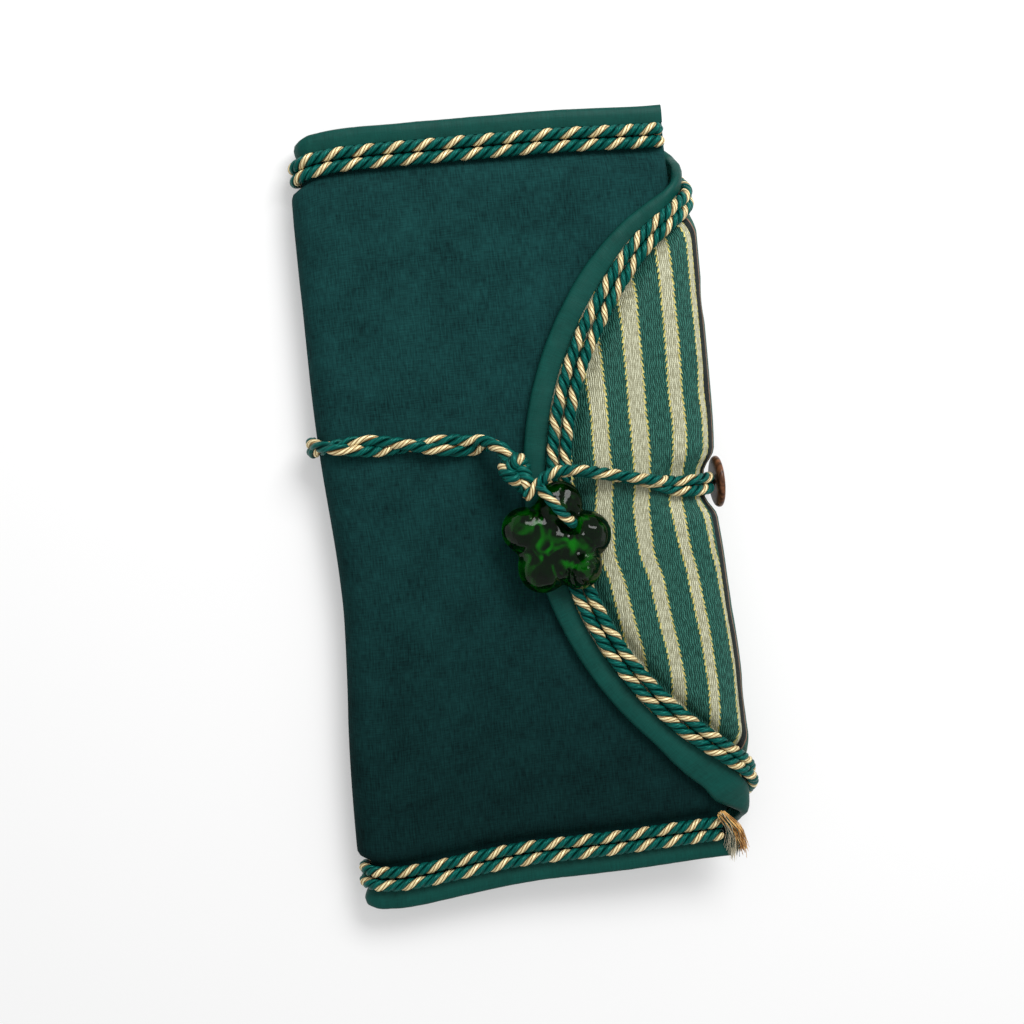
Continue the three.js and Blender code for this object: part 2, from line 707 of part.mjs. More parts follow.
// The side button on its thread, a turned disc with two holes that faces away from the spine
const buttonGroup = new THREE.Group();
const buttonX = spineX + spineLowerRadius + air;
buttonGroup.position.set(buttonX, 0, buttonHeight);
buttonGroup.rotation.y = Math.PI / 2;
model.add(buttonGroup);
const disc = new THREE.Shape().absarc(0, 0, buttonRadius - buttonRim, 0, 2 * Math.PI);
for (const side of [1, -1]) {
  disc.holes.push(new THREE.Path().absarc(0, (side * buttonHoleSpacing) / 2, buttonHole, 0, 2 * Math.PI, true));
}
const discShape = new THREE.ExtrudeGeometry(disc, {
  depth: buttonThick - 2 * buttonRim,
  curveSegments: 12,
  bevelThickness: buttonRim,
  bevelSize: buttonRim,
  bevelSegments: 2,
});
discShape.translate(0, 0, buttonRim);
discShape.deleteAttribute("uv");
discShape.deleteAttribute("normal");
add("side_button", "horn", mergeVertices(discShape, 1e-3), buttonGroup);
const clothX = surfaceAt(buttonU).x - grooveDepth;
const threadLength = buttonX - clothX - 2 * air;
const thread = add(
  "button_thread",
  "thread",
  new THREE.CylinderGeometry(threadRadius, threadRadius, threadLength, 12),
);
thread.rotation.z = Math.PI / 2;
thread.position.set(clothX + air + threadLength / 2, 0, buttonHeight);

export default model;
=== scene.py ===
from functools import partial
from math import copysign, cos, pi, radians, sin, tan, tau

import bpy
import numpy as np
from mathutils import Matrix, Vector


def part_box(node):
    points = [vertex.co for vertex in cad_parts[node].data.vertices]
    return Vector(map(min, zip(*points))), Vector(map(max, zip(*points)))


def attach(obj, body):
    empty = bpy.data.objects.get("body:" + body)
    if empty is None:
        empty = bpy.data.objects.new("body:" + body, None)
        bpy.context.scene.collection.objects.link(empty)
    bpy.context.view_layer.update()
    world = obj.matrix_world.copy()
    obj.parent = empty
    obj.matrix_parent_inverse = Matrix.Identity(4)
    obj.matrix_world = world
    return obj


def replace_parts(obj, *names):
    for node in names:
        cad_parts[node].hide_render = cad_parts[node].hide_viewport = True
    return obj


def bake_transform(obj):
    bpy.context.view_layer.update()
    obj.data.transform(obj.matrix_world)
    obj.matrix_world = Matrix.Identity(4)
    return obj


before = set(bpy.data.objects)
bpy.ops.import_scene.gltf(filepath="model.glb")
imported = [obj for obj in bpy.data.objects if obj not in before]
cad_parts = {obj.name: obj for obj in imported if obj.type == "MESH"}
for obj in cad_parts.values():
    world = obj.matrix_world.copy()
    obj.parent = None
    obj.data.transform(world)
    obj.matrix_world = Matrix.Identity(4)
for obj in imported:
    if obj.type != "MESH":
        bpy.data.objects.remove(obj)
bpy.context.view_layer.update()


# Camera, floor and light. The camera looks down on the closed roll from a little to its left and is turned
# with it. The floor is a plain white sheet, and one soft lamp at the upper right throws the pale shadow.
def placed(name, data):
    """A new object in the scene."""
    made = bpy.data.objects.new(name, data)
    bpy.context.collection.objects.link(made)
    return made


camera_place = Vector((-0.0544, 0.0217, 0.5))
camera_turn = Vector((-0.04, -0.103, -0.098))
camera_data = bpy.data.cameras.new("camera")
camera_data.sensor_width = 36
camera_data.lens = 56.2
camera = placed("camera", camera_data)
camera.matrix_world = Matrix.Translation(camera_place) @ Matrix.Rotation(camera_turn.length, 4, camera_turn)
bpy.context.scene.camera = camera
bpy.context.scene.view_settings.view_transform = "Standard"


def linear(red, green, blue):
    """A colour as the screen shows it, 0 to 255, as the light that the shader works with."""
    parts = [value / 255 for value in (red, green, blue)]
    return tuple(v / 12.92 if v <= 0.04045 else ((v + 0.055) / 1.055) ** 2.4 for v in parts) + (1.0,)


def shader(name, **sockets):
    """A new material and its node tree, with values set on its shader's own sockets."""
    material = bpy.data.materials.new(name)
    material.use_nodes = True
    tree = material.node_tree
    for socket, value in sockets.items():
        label = socket.replace("_", " ").title().replace("Ior", "IOR")
        tree.nodes["Principled BSDF"].inputs[label].default_value = value
    return material, tree


def node(tree, kind, inputs=None, **settings):
    """A node of a material, with its settings and with values or links on its inputs."""
    made = tree.nodes.new("ShaderNode" + kind)
    for key, value in settings.items():
        setattr(made, key, value)
    for key, value in (inputs or {}).items():
        if isinstance(value, bpy.types.NodeSocket):
            tree.links.new(value, made.inputs[key])
        else:
            made.inputs[key].default_value = value
    return made


def feed(tree, socket, output):
    """Link an output of a material's nodes to a socket of its shader."""
    tree.links.new(output, tree.nodes["Principled BSDF"].inputs[socket])


def calc(tree, operation, *values, clamp=False):
    """The result of one step of arithmetic in a material."""
    return node(tree, "Math", dict(enumerate(values)), operation=operation, use_clamp=clamp).outputs[0]


def ramp(tree, value, low, high, start=0.0, end=1.0):
    """A smooth change of value from start to end between low and high."""
    places = {0: value, 1: low, 2: high, 3: start, 4: end}
    return node(tree, "MapRange", places, interpolation_type="SMOOTHSTEP").outputs[0]


def mixed(tree, share, low, high):
    """The colour between low and high at that share of the way."""
    return node(tree, "Mix", {0: share, 6: low, 7: high}, data_type="RGBA").outputs[2]


def noise(tree, place, scale, detail, at=(0, 0, 0), **more):
    """Soft noise over a place. A scale of three parts stretches it differently along each axis."""
    if isinstance(scale, tuple):
        place = node(tree, "Mapping", {"Vector": place, "Location": at, "Scale": scale}).outputs[0]
        scale = 1
    return node(tree, "TexNoise", {"Vector": place, "Scale": scale, "Detail": detail, **more}).outputs[0]


def relief(tree, height, strength, distance):
    """Small relief on a material, from a height and the distance in metres that it stands for."""
    inputs = {"Height": height, "Strength": strength, "Distance": distance}
    feed(tree, "Normal", node(tree, "Bump", inputs).outputs[0])


world = bpy.context.scene.world or bpy.data.worlds.new("world")
bpy.context.scene.world = world
world.use_nodes = True
world_light = world.node_tree.nodes["Background"]
world_light.inputs["Color"].default_value = (1, 1, 1, 1)
world_light.inputs["Strength"].default_value = 0.62

lamp_data = bpy.data.lights.new("window", "AREA")
lamp_data.shape = "RECTANGLE"
lamp_data.size, lamp_data.size_y = 0.5, 0.35
lamp_data.energy = 6.2
lamp = placed("window", lamp_data)
lamp.location = (0.28, 0.48, 0.62)
lamp.rotation_euler = (-lamp.location).to_track_quat("-Z", "Y").to_euler()

floor_half = 3
floor_mesh = bpy.data.meshes.new("floor")
corners = [(x * floor_half, y * floor_half, 0) for x, y in ((-1, -1), (1, -1), (1, 1), (-1, 1))]
floor_mesh.from_pydata(corners, [], [(0, 1, 2, 3)])
floor = placed("floor", floor_mesh)
paper, paper_tree = shader("white_paper", roughness=0.9, base_color=linear(241, 241, 241), specular_ior_level=0)
paper_glow = node(paper_tree, "Emission", {"Color": (1, 1, 1, 1), "Strength": 1.0}).outputs[0]
paper_glow_share = 0.3
rays = node(paper_tree, "LightPath").outputs
seen_directly = rays["Is Camera Ray"]
for kind in ("Is Glossy Ray", "Is Transmission Ray"):
    seen_directly = calc(paper_tree, "ADD", seen_directly, rays[kind], clamp=True)
glow_share = calc(paper_tree, "MULTIPLY", seen_directly, paper_glow_share)
paper_shaded = paper_tree.nodes["Principled BSDF"].outputs[0]
paper_mix = node(paper_tree, "MixShader", {0: glow_share, 1: paper_shaded, 2: paper_glow})
paper_tree.links.new(paper_mix.outputs[0], paper_tree.nodes["Material Output"].inputs["Surface"])
floor_mesh.materials.append(paper)

# The lining, cut from green cotton to the whole strip and laid round the folds with it. Every layer of the
# roll is drawn flat first: u runs along the strip from the spine's lower edge, y across it and n through its
# thickness from the lining out, all in millimetres. Lay turns such a flat point into one on the roll.
MM = 0.001
strip_half = 117.5
thickness = 6
back_length = 107
front_length = 106
flap_length = 50.5
spine_x = 53.8
slope = radians(2.8)
left_fold_radius = 7.5
flap_end_length = 130
edge_turn = 2.2
low_turn = 7.4
spine_wall = 7
upper_turn = 12
forward = [(back_length, 0), (left_fold_radius, pi - slope), (front_length, 0), (edge_turn, pi / 2), (30, 0)]
backward = [(low_turn, pi / 2), (spine_wall, 0), (upper_turn, pi / 2 + slope), (flap_length, 0)]
spine_length = sum(size * turn if turn else size for size, turn in backward[:3])
left_fold_length = left_fold_radius * (pi - slope)
front_from = back_length + left_fold_length
front_to = front_from + front_length
fold_middle = back_length + left_fold_length / 2
tip_u = -spine_length - flap_length
fold_slant = 5.6
slant_reach = 62
waist_depth = 1.6
waist_half = 15


def smooth(value, low, high):
    t = np.clip((value - low) / (high - low), 0, 1)
    return t * t * (3 - 2 * t)


def bell(value, middle, width):
    """A soft hump of 1 round the middle."""
    return np.exp(-(((value - middle) / width) ** 2))


def surface(u):
    """The outer surface at u in millimetres: x, z and the direction that faces out of the roll."""
    u = np.asarray(u, float)
    x = np.full(u.shape, float(spine_x))
    z = np.zeros(u.shape)
    heading = np.zeros(u.shape)
    for side, parts, here in ((1, backward, u < 0), (-1, forward, u >= 0)):
        left = np.where(here, np.abs(u), 0)
        for number, (size, turn) in enumerate(parts):
            whole = size * turn if turn else size
            run = left if number == len(parts) - 1 else np.minimum(left, whole)
            if turn:
                turned = heading + run / size
                x += side * size * (np.sin(turned) - np.sin(heading))
                z += size * (np.cos(heading) - np.cos(turned))
                heading = turned
            else:
                x += side * run * np.cos(heading)
                z += run * np.sin(heading)
            left = left - run
    side = np.where(u < 0, 1, -1)
    return x, z, side * np.sin(heading), -np.cos(heading)


def edge_distance(u, y):
    """How far a flat point lies from the strip's edge."""
    across = y / strip_half
    along = np.maximum(flap_end_length - (u - tip_u), 0) / flap_end_length
    ratio = np.maximum(np.hypot(across, along), 1e-6)
    size = np.maximum(np.hypot(along / flap_end_length, across / strip_half) / ratio, 1e-6)
    return np.where(u >= tip_u + flap_end_length, strip_half - np.abs(y), (1 - ratio) / size)


def drawn(u, y):
    """How far the soft roll is pulled along x: its waist at the tie and its uneven sides."""
    spine_share = smooth(u, -spine_length - 24, -spine_length) * smooth(-u, -30, 8)
    waist = -waist_depth * bell(y, -4, waist_half)
    corner = 2.6 * bell(y, -96, 13)
    fold_share = 1 - smooth(np.abs(u - fold_middle), 0, 70)
    fold_side = 3.2 * bell(y, -25, 38) - 1.8 - 2.0 * smooth(-y, 108, 116) - 0.7 * smooth(y, 108, 116)
    flap_rim = 1 - smooth(edge_distance(u, y), 0.3, 7)
    fuller = 1.9 * smooth(y, 66, 92) * (1 - smooth(u, -36, -22))
    sagging = flap_rim * (fuller - 7.4 * smooth(-y, 76, 98) * (1 - smooth(u, -32, -17)))
    free_corner = -0.8 * smooth(u, front_to - 30, front_to) * smooth(y, 85, 105)
    return spine_share * (waist + corner - 1.7 * smooth(y, -60, -25)) + fold_share * fold_side + sagging + free_corner


def lay(u, y, n):
    """A point of the flat strip, in millimetres, where it lies on the roll, in metres."""
    x, z, out_x, out_z = surface(u)
    drawn_in = 0.028 * bell(u, fold_middle, 13) + 0.010 * smooth(u, front_to - 40, front_to)
    slant = fold_slant / strip_half * (1 - smooth(np.abs(u - fold_middle), 0, slant_reach)) * (y < 0)
    gathered = 5.5 * smooth(y, 70, 108) * smooth(u, -70, -40) * (1 - smooth(u, 5, 60))
    across = y * (1 - drawn_in + slant) + fold_slant / 2 - gathered
    return np.stack([x - (thickness - n) * out_x + drawn(u, y), across, z - (thickness - n) * out_z], -1) * MM


def edge(q, inset):
    """The strip's flat edge: an ellipse round the flap for q within 1, then the straight sides."""
    q = np.asarray(q, float)
    angle = np.clip(q, -1, 1) * pi / 2
    out_u = -np.cos(angle) / flap_end_length
    out_y = np.sin(angle) / strip_half
    size = np.hypot(out_u, out_y)
    out_u, out_y = out_u / size, out_y / size
    past = np.maximum(np.abs(q) - 1, 0) * flap_end_length
    u = tip_u + flap_end_length * (1 - np.cos(angle)) + past - inset * out_u
    return u, strip_half * np.sin(angle) - inset * out_y, out_u, out_y


def found(comes_before, high, shape=()):
    """The value between 0 and high up to which the test holds, by halving the range."""
    low, high = np.zeros(shape), np.full(shape, float(high))
    for _ in range(40):
        middle = (low + high) / 2
        before = comes_before(middle)
        low, high = np.where(before, middle, low), np.where(before, high, middle)
    return (low + high) / 2


edge_reach = 1 + (front_to + 20 - tip_u) / flap_end_length


def half_width(u, inset):
    """Half the strip's width at u, inset from its edge."""
    u = np.asarray(u, float)
    return edge(found(lambda q: edge(q, inset)[0] < u, edge_reach, u.shape), inset)[1]


def keep_uv(mesh, name, corners):
    """A UV map on a mesh, given at every corner of its faces."""
    mesh.uv_layers.new(name=name).data.foreach_set("uv", np.asarray(corners, np.float32).ravel())


def new_piece(name, points, faces, material, flat=None):
    """A smooth mesh, with its place on the flat strip, in millimetres, kept as a UV map in metres."""
    mesh = bpy.data.meshes.new(name)
    mesh.from_pydata([tuple(p) for p in np.asarray(points, float)], [], [tuple(f) for f in faces])
    if flat is not None:
        corner = np.zeros(len(mesh.loops), np.int32)
        mesh.loops.foreach_get("vertex_index", corner)
        keep_uv(mesh, "flat", flat.reshape(-1, 2)[corner] * MM)
    mesh.materials.append(material)
    mesh.shade_smooth()
    mesh.set_sharp_from_angle(angle=radians(55))
    return placed(name, mesh)


def sheet(name, u, y, low, high, material):
    """A closed sheet over a grid of flat points, between two heights."""
    points = np.stack([lay(u, y, high), lay(u, y, low)]).reshape(-1, 3)
    number = np.arange(u.size).reshape(u.shape)
    quads = np.stack([number[:-1, :-1], number[:-1, 1:], number[1:, 1:], number[1:, :-1]], -1).reshape(-1, 4)
    faces = [quads[:, ::-1], quads + u.size]
    for line in (number[0], number[:, -1], number[-1, ::-1], number[::-1, 0]):
        faces.append(np.stack([line[:-1], line[1:], line[1:] + u.size, line[:-1] + u.size], -1))
    flat = np.stack([u, y], -1)
    return new_piece(name, points, np.concatenate(faces), material, np.stack([flat, flat]))


def spread_out(count):
    """Numbers from -1 to 1, closer together near both ends."""
    return np.sin(np.linspace(-1, 1, count) * 1.3) / sin(1.3)


layer_inset = 1.2


def strip_grid(start, end, step=1.6, columns=150):
    """Flat points over the strip from one cut to another, closer together near its two edges."""
    rows = round((end - start) / step) + 1
    line = np.linspace(start, end, rows)
    y = half_width(line, layer_inset)[:, None] * spread_out(columns)
    return np.broadcast_to(line[:, None], (rows, columns)), y


def flap_grid(end, rows, columns):
    """Flat points over the flap, in lines from its curved edge to the cut."""
    y = spread_out(columns) * (float(half_width(end, layer_inset)) - 0.02)
    start = edge(found(lambda q: edge(q, layer_inset)[1] < np.abs(y), 1, columns), layer_inset)[0]
    share = np.linspace(0, 1, rows)[:, None] ** 1.15
    return start + (end - start) * share, np.broadcast_to(y, (rows, columns))


def bumps(u, y, size, seed):
    """Soft waves between -1 and 1, the same on every run, about one size long."""
    rng = np.random.default_rng(seed)
    total = np.zeros(np.broadcast(u, y).shape)
    for _ in range(9):
        turn = rng.uniform(0, pi)
        wave = rng.uniform(0.7, 1.6) * size
        total += np.sin(tau * (u * cos(turn) + y * sin(turn)) / wave + rng.uniform(0, 6.3))
    return total / 4.5


def plain_cloth(name, roughness, shine, colour, light, slub, bump, thread=0.42, shade=1.0):
    """Plain cloth with yarns, slubs and soft mottling by its place on the strip, and painted shade that darkens it
    toward one end.
    """
    material, tree = shader(name, roughness=roughness, specular_ior_level=shine)
    place = node(tree, "UVMap", uv_map="flat").outputs[0]
    across_yarns, along_yarns = 1 / (thread * MM), 260
    warp = noise(tree, place, (across_yarns, along_yarns, 1), 3)
    weft = noise(tree, place, (along_yarns, 1.25 * across_yarns, 1), 2)
    both = calc(tree, "MULTIPLY_ADD", weft, 0.7, warp)
    cloud = noise(tree, place, 75, 6, Roughness=0.62)
    yarns = calc(tree, "MULTIPLY_ADD", both, slub, -0.85 * slub)
    mottle = calc(tree, "MULTIPLY_ADD", cloud, 0.9, yarns)
    tint = mixed(tree, calc(tree, "ADD", mottle, 0.05, clamp=True), colour, light)
    along = node(tree, "SeparateXYZ", {0: place}).outputs[1]
    # Painted shade: the colour is darkened from 30 mm above the strip's middle down to the given share of it at 100
    # mm below.
    painted_shade_share = node(tree, "MapRange", {0: along, 1: -0.1, 2: 0.03, 3: shade, 4: 1.0}).outputs[0]
    feed(tree, "Base Color", mixed(tree, painted_shade_share, (0, 0, 0, 1), tint))
    relief(tree, both, bump, 0.0002)
    return material


spine_cut = -16.7
seam_u = 103
lining_low = 0.8
lining_thick = 0.5
lining_cloth = plain_cloth("green_lining", 0.8, 0.2, linear(30, 78, 68), linear(52, 108, 94), 1.0, 0.5)


def lining(name, grid, seed):
    """A stretch of the lining with a soft unevenness inside its edges."""
    u, y = grid
    rise = 0.18 * bumps(u, y, 22, seed) * smooth(half_width(u[:, :1], 0) - np.abs(y), 4, 14)
    return sheet(name, u, y, lining_low + rise, lining_low + lining_thick + rise, lining_cloth)


def over_lower_hinge(piece):
    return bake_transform(piece)


def over_upper_hinge(piece):
    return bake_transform(piece)


back_lining = lining("back_lining", strip_grid(spine_cut, seam_u, 2.5, 90), 1)
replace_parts(over_lower_hinge(back_lining), "body_lining", "spine_lining")
front_lining = lining("front_lining", strip_grid(seam_u, front_to - layer_inset, 2.5, 90), 2)
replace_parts(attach(front_lining, "root"), "body_lining")
flap_lining = lining("flap_lining_cloth", flap_grid(spine_cut, 40, 90), 3)
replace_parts(over_upper_hinge(flap_lining), "flap_lining", "spine_lining")

# Two slip pockets of the same cotton, sewn to the lining of the back and of the front panel. The mouth of
# each is bound with satin tape, and the open side stands a little away from the lining.
satin = plain_cloth("green_satin", 0.5, 0.12, linear(3, 50, 44), linear(10, 78, 70), 0.8, 0.2, 0.35)
pocket_half = 98
pocket_depth = 62
mouth_width = 3
hem_width = 6


def pocket(name, bottom, top):
    """A pocket and its bound mouth, from its bottom edge to its open edge."""
    seam = top - copysign(mouth_width, top - bottom)
    for part, ends, rise, material, slot_name in (
        ("pocket", (bottom, seam), 0.0, lining_cloth, "lining"),
        ("pocket_mouth", (seam, top), 0.35, satin, "satin_binding"),
    ):
        low_u, high_u = sorted(ends)
        rows = max(4, round((high_u - low_u) / 1.5))
        u = np.broadcast_to(np.linspace(low_u, high_u, rows)[:, None], (rows, 90))
        y = np.broadcast_to(np.linspace(-pocket_half, pocket_half, 90), (rows, 90))
        sewn = smooth(pocket_half - np.abs(y), 0, 6)
        lift = (0.12 * bumps(u, y, 30, 5) + 0.1) * sewn
        round_off = rise * np.sin(np.linspace(0, pi, rows))[:, None] * sewn
        made = sheet(f"{name}_{part}_cloth", u, y, 0.1 - lift - round_off, 0.6 - lift + round_off * 0.3, material)
        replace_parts(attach(made, "root"), f"{name}_{part}")


pocket("back", 8, 8 + pocket_depth)
pocket("front", front_to - hem_width - 0.3, front_to - hem_width - 0.3 - pocket_depth)

# The brocade of back, spine and flap, woven in green twill with silvery stripes that have gold yarn along
# their edges. It is laid over the batting and sewn down along the trim, so it crowns softly between the
# cords, and the tie presses a groove into it. Its two padded skins stand for the covers and their batting.
cords_width = 8.4
layer_gap = 0.15
groove_depth = 3.2
margin_level = 2.1
pad_low = 1.6
crown_width = 13
tie_fold_y = 24
stripe_pitch = 11.7
stripe_middle = -64.2


def binding_width(u):
    return 6.6 - smooth(u, 0, back_length)


def tie_y(u):
    """The line of the tie on the flat strip, straight down the spine and aslant over back and front."""
    over_back = tie_fold_y * np.clip(u, 0, back_length) / back_length
    past_fold = np.maximum(u - back_length, 0) / (front_from + front_length / 2 - back_length)
    return over_back - 7 * past_fold


def groove(u, y):
    across = 1 - smooth(np.abs(y - tie_y(u)), 3.4, 10.5)
    over_fold = 1 - smooth(u, back_length, back_length + left_fold_radius * 1.5)
    return across * over_fold * smooth(u, -spine_length - 9, -spine_length - 2)


def cloth_height(u, y, waves):
    """The height of the outer cloth: low under the trim and the hem, crowned over the batting."""
    margin = binding_width(u) + cords_width
    inside = np.clip((edge_distance(u, y) - margin) / crown_width, 0, 1)
    crown = 1 - (1 - inside) ** (4.5 + 8 * (1 - smooth(np.abs(u - fold_middle), 0, 30)))
    full = margin_level + (thickness + layer_gap - margin_level) * crown + waves * crown
    return np.minimum(full, thickness - groove_depth * groove(u, y))


brocade, brocade_tree = shader("striped_brocade", roughness=0.6, specular_ior_level=0.15)
work = partial(calc, brocade_tree)
fade = partial(ramp, brocade_tree)
flat_place = node(brocade_tree, "UVMap", uv_map="flat").outputs[0]
flat_parts = node(brocade_tree, "SeparateXYZ", {0: flat_place}).outputs
strip_u, strip_y = (work("MULTIPLY", flat_parts[k], 1 / MM) for k in (0, 1))
wander = work("MULTIPLY_ADD", noise(brocade_tree, flat_place, 60, 1), 1.2, -0.6)
pulled = fade(strip_u, -62, -38, 0.0, -2.3)
let_go = fade(strip_u, -36, -31, 0.0, 2.3)
leaning = work("MULTIPLY", fade(strip_y, -62, -14, -6.0, 0.0), fade(strip_u, -62, -31, 1.0, 0.15))
pushed = work("MULTIPLY", fade(strip_y, -28, -18, 0.0, 1.1), fade(strip_y, -6, 4, 1.0, 0.0))
stripe_u = strip_u
for shift in (wander, pulled, let_go, leaning, pushed):
    stripe_u = work("ADD", stripe_u, shift)
off_middle = work("PINGPONG", work("SUBTRACT", stripe_u, stripe_middle), stripe_pitch / 2)
stripe_half = fade(stripe_u, -48, -44, 2.3, 1.85)
for change in (fade(strip_y, -18, -6, -0.35, 0.0), fade(stripe_u, -36, -34, 0.0, -0.75)):
    stripe_half = work("ADD", stripe_half, change)
past_edge = work("SUBTRACT", off_middle, stripe_half)
silver_share = fade(past_edge, -0.05, 0.12, 1.0, 0.0)


def crimped(pitch, sway, wave, seed):
    """Fine yarns that wriggle across the strip, with painted light on their crests and painted shade between them."""
    wriggle = noise(brocade_tree, flat_place, (300, 1000 / wave, 1), 2, (seed, 0, 0))
    swung = work("MULTIPLY_ADD", wriggle, sway, strip_u)
    painted_crest_light = work("SINE", work("MULTIPLY", swung, tau / pitch))
    return work("MULTIPLY_ADD", painted_crest_light, 0.5, 0.5)


fleck = noise(brocade_tree, flat_place, (1500, 520, 1), 2)
weft_pitch = 0.62
weft_line = work("SINE", work("MULTIPLY", strip_y, tau / weft_pitch))
green_yarns = crimped(0.66, 1.5, 1.9, 3)
silver_yarns = crimped(0.56, 0.8, 1.4, 7)


def woven(yarns, dark, light):
    """The colour of one weave: its crimped yarns with flecks of light and shade."""
    share = work("MULTIPLY", yarns, fade(fleck, 0.3, 0.7, 0.35, 1.25))
    return mixed(brocade_tree, work("MULTIPLY_ADD", weft_line, 0.07, share, clamp=True), dark, light)


def band(low, high):
    """The share of a band across the strip, whose two soft edges each run between two values of u."""
    return work("MULTIPLY", fade(band_edge, *low), fade(band_edge, *high, 1.0, 0.0))


green_weave = woven(green_yarns, linear(0, 40, 32), linear(56, 114, 101))
silver_weave = woven(silver_yarns, linear(124, 122, 94), linear(216, 217, 188))
cloth_colour = mixed(brocade_tree, silver_share, green_weave, silver_weave)
dash_slant = work("MULTIPLY_ADD", off_middle, 1.6, strip_y)
tooth = work("PINGPONG", work("MULTIPLY_ADD", fleck, 1.9, dash_slant), 0.95)
gold_reach = work("MULTIPLY_ADD", tooth, 0.75, -0.1)
gold_off = work("ABSOLUTE", work("SUBTRACT", past_edge, 0.12))
gold_share = fade(work("SUBTRACT", gold_reach, gold_off), 0.0, 0.14)
gold_glint = mixed(brocade_tree, fleck, linear(104, 92, 20), linear(250, 240, 150))
band_edge = work("MULTIPLY_ADD", fleck, 0.8, strip_u)
# Over the weave go the gold dashes, a dark band of painted shade where the brocade turns away round the spine's upper
# fold, and a thin brown line beside it.
for share, colour in (
    (gold_share, gold_glint),
    (band((-27.6, -27.3), (-24.7, -24.4)), linear(10, 24, 22)),
    (band((-24.7, -24.5), (-23.9, -23.7)), linear(128, 98, 78)),
):
    cloth_colour = mixed(brocade_tree, share, cloth_colour, colour)
feed(brocade_tree, "Base Color", cloth_colour)
feed(brocade_tree, "Metallic", work("MULTIPLY", gold_share, 0.3))
raised = work("MULTIPLY_ADD", gold_share, 1.2, work("ADD", green_yarns, fleck))
relief(brocade_tree, raised, 0.5, 0.00025)


def padded_skin(name, grid, swell, size, seed, material):
    """The outer cloth over the batting on a flat grid, with soft waves of that swell and size."""
    u, y = grid
    high = cloth_height(u, y, swell * bumps(u, y, size, seed))
    return sheet(name, u, y, pad_low, high, material)


back_skin = padded_skin("brocade_back_and_spine", strip_grid(spine_cut, seam_u - layer_gap), 0.3, 34, 11, brocade)
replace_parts(over_lower_hinge(back_skin), "back_cover", "body_padding", "spine_cover", "spine_padding")
flap_skin = padded_skin("brocade_flap", flap_grid(spine_cut, 90, 170), 0.56, 26, 12, brocade)
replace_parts(over_upper_hinge(flap_skin), "flap_cover", "flap_padding", "spine_cover", "spine_padding")

# The dark teal cloth of the front panel, a plain weave with slubs. It wraps the tight left fold and meets
# the brocade at a seam on the back. Its batting crowns it between the two pairs of cords.
dark_tones = linear(6, 26, 27), linear(24, 70, 69)
# Its colour carries painted shade, down to 0.46 of it toward the strip's lower edge.
dark_cloth = plain_cloth("dark_teal_cloth", 0.85, 0.05, *dark_tones, 1.2, 0.4, shade=0.46)
front_grid = strip_grid(seam_u + layer_gap, front_to - hem_width)
front_skin = padded_skin("dark_front_cloth", front_grid, 0.35, 42, 13, dark_cloth)
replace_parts(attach(front_skin, "root"), "front_cover", "body_padding")


# The bindings: bias strips of green satin folded round every raw edge, 6.6 mm wide round the flap and
# narrower along the two long edges. The free edge of the front panel has a hem of the dark cloth instead.
def tube_faces(count, sides, start=0):
    """The faces of a tube of rings of points, numbered from start, with a face over each end."""
    number = start + np.arange(count * sides).reshape(count, sides)
    beside = np.roll(number, -1, 1)
    quads = np.stack([number[:-1], beside[:-1], beside[1:], number[1:]], -1).reshape(-1, 4)
    return [*quads, number[0, ::-1], number[-1]]


def loft(name, rings, material, flat=None):
    """A closed skin through rings of points."""
    return new_piece(name, rings.reshape(-1, 3), tube_faces(*rings.shape[:2]), material, flat)


def tape_section(width):
    """A tape folded round the edge: distances out from it and heights, the lower side first."""
    top = margin_level + 0.8
    round_edge = top / 2
    turn = np.radians(np.linspace(-90, 90, 9))
    nose_out = round_edge * (0.8 * np.cos(turn) - 0.8)
    nose_high = round_edge * (1 + np.sin(turn))
    back = np.linspace(0, 1, 6)[1:]
    top_out = -round_edge * 0.8 - (width - round_edge * 0.8) * back
    top_high = top + 0.35 * np.sin(pi * back**0.7) * (1 - back) - 0.25 * back**4
    lower = [(-width, 0.0), (-width * 0.5, -0.05)]
    inner = [(-width, top - 0.75), (-0.6, top - 0.6), (-0.6, 0.5), (-width, 0.5)]
    return np.array(lower + list(zip(nose_out, nose_high)) + list(zip(top_out, top_high)) + inner)


def run_length(line):
    """How far each point of a line is from its start, along the line."""
    return np.concatenate([[0], np.cumsum(np.linalg.norm(np.diff(line, axis=0), axis=1))])


def edge_line(start, end, inset, step):
    """Points a step apart along the strip's edge between two edge coordinates, inset by a function of u."""
    q = np.linspace(start, end, 1500)
    length = run_length(np.stack(edge(q, inset(edge(q, 0)[0]))[:2], -1))
    even = np.linspace(0, length[-1], round(length[-1] / step) + 1)
    at = np.interp(even, length, q)
    return (*edge(at, inset(edge(at, 0)[0])), even)


def side_at(u):
    """The edge coordinate of the straight side, or of the flap's curve, at u."""
    return float(found(lambda q: edge(q, 0)[0] < u, edge_reach))


cut_side, seam_side, end_side = side_at(spine_cut), side_at(seam_u), side_at(front_to)


def binding(name, start, end, nodes, lay_on, seed):
    """One stretch of the binding, with soft puckers."""
    u, y, out_u, out_y, length = (line[:, None] for line in edge_line(start, end, lambda u: 0, 1.2))
    rng = np.random.default_rng(seed)
    pucker = np.convolve(rng.normal(0, 1, len(u) + 8), np.ones(9) / 9, "valid")[: len(u), None] * 0.28
    out, high = np.moveaxis(np.stack([tape_section(width) for width in binding_width(u[:, 0])]), -1, 0)
    high = high + np.clip((high - 1.2) / 1.7, 0, 1) * pucker
    out = out - 0.5 * np.abs(pucker) * np.clip(1 + out, 0, 1)
    flat = np.stack([length + 0 * out, out], -1)
    made = loft(name, lay(u + out * out_u, y + out * out_y, high), satin, flat)
    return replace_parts(lay_on(made), *nodes)


def on_root(piece):
    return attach(piece, "root")


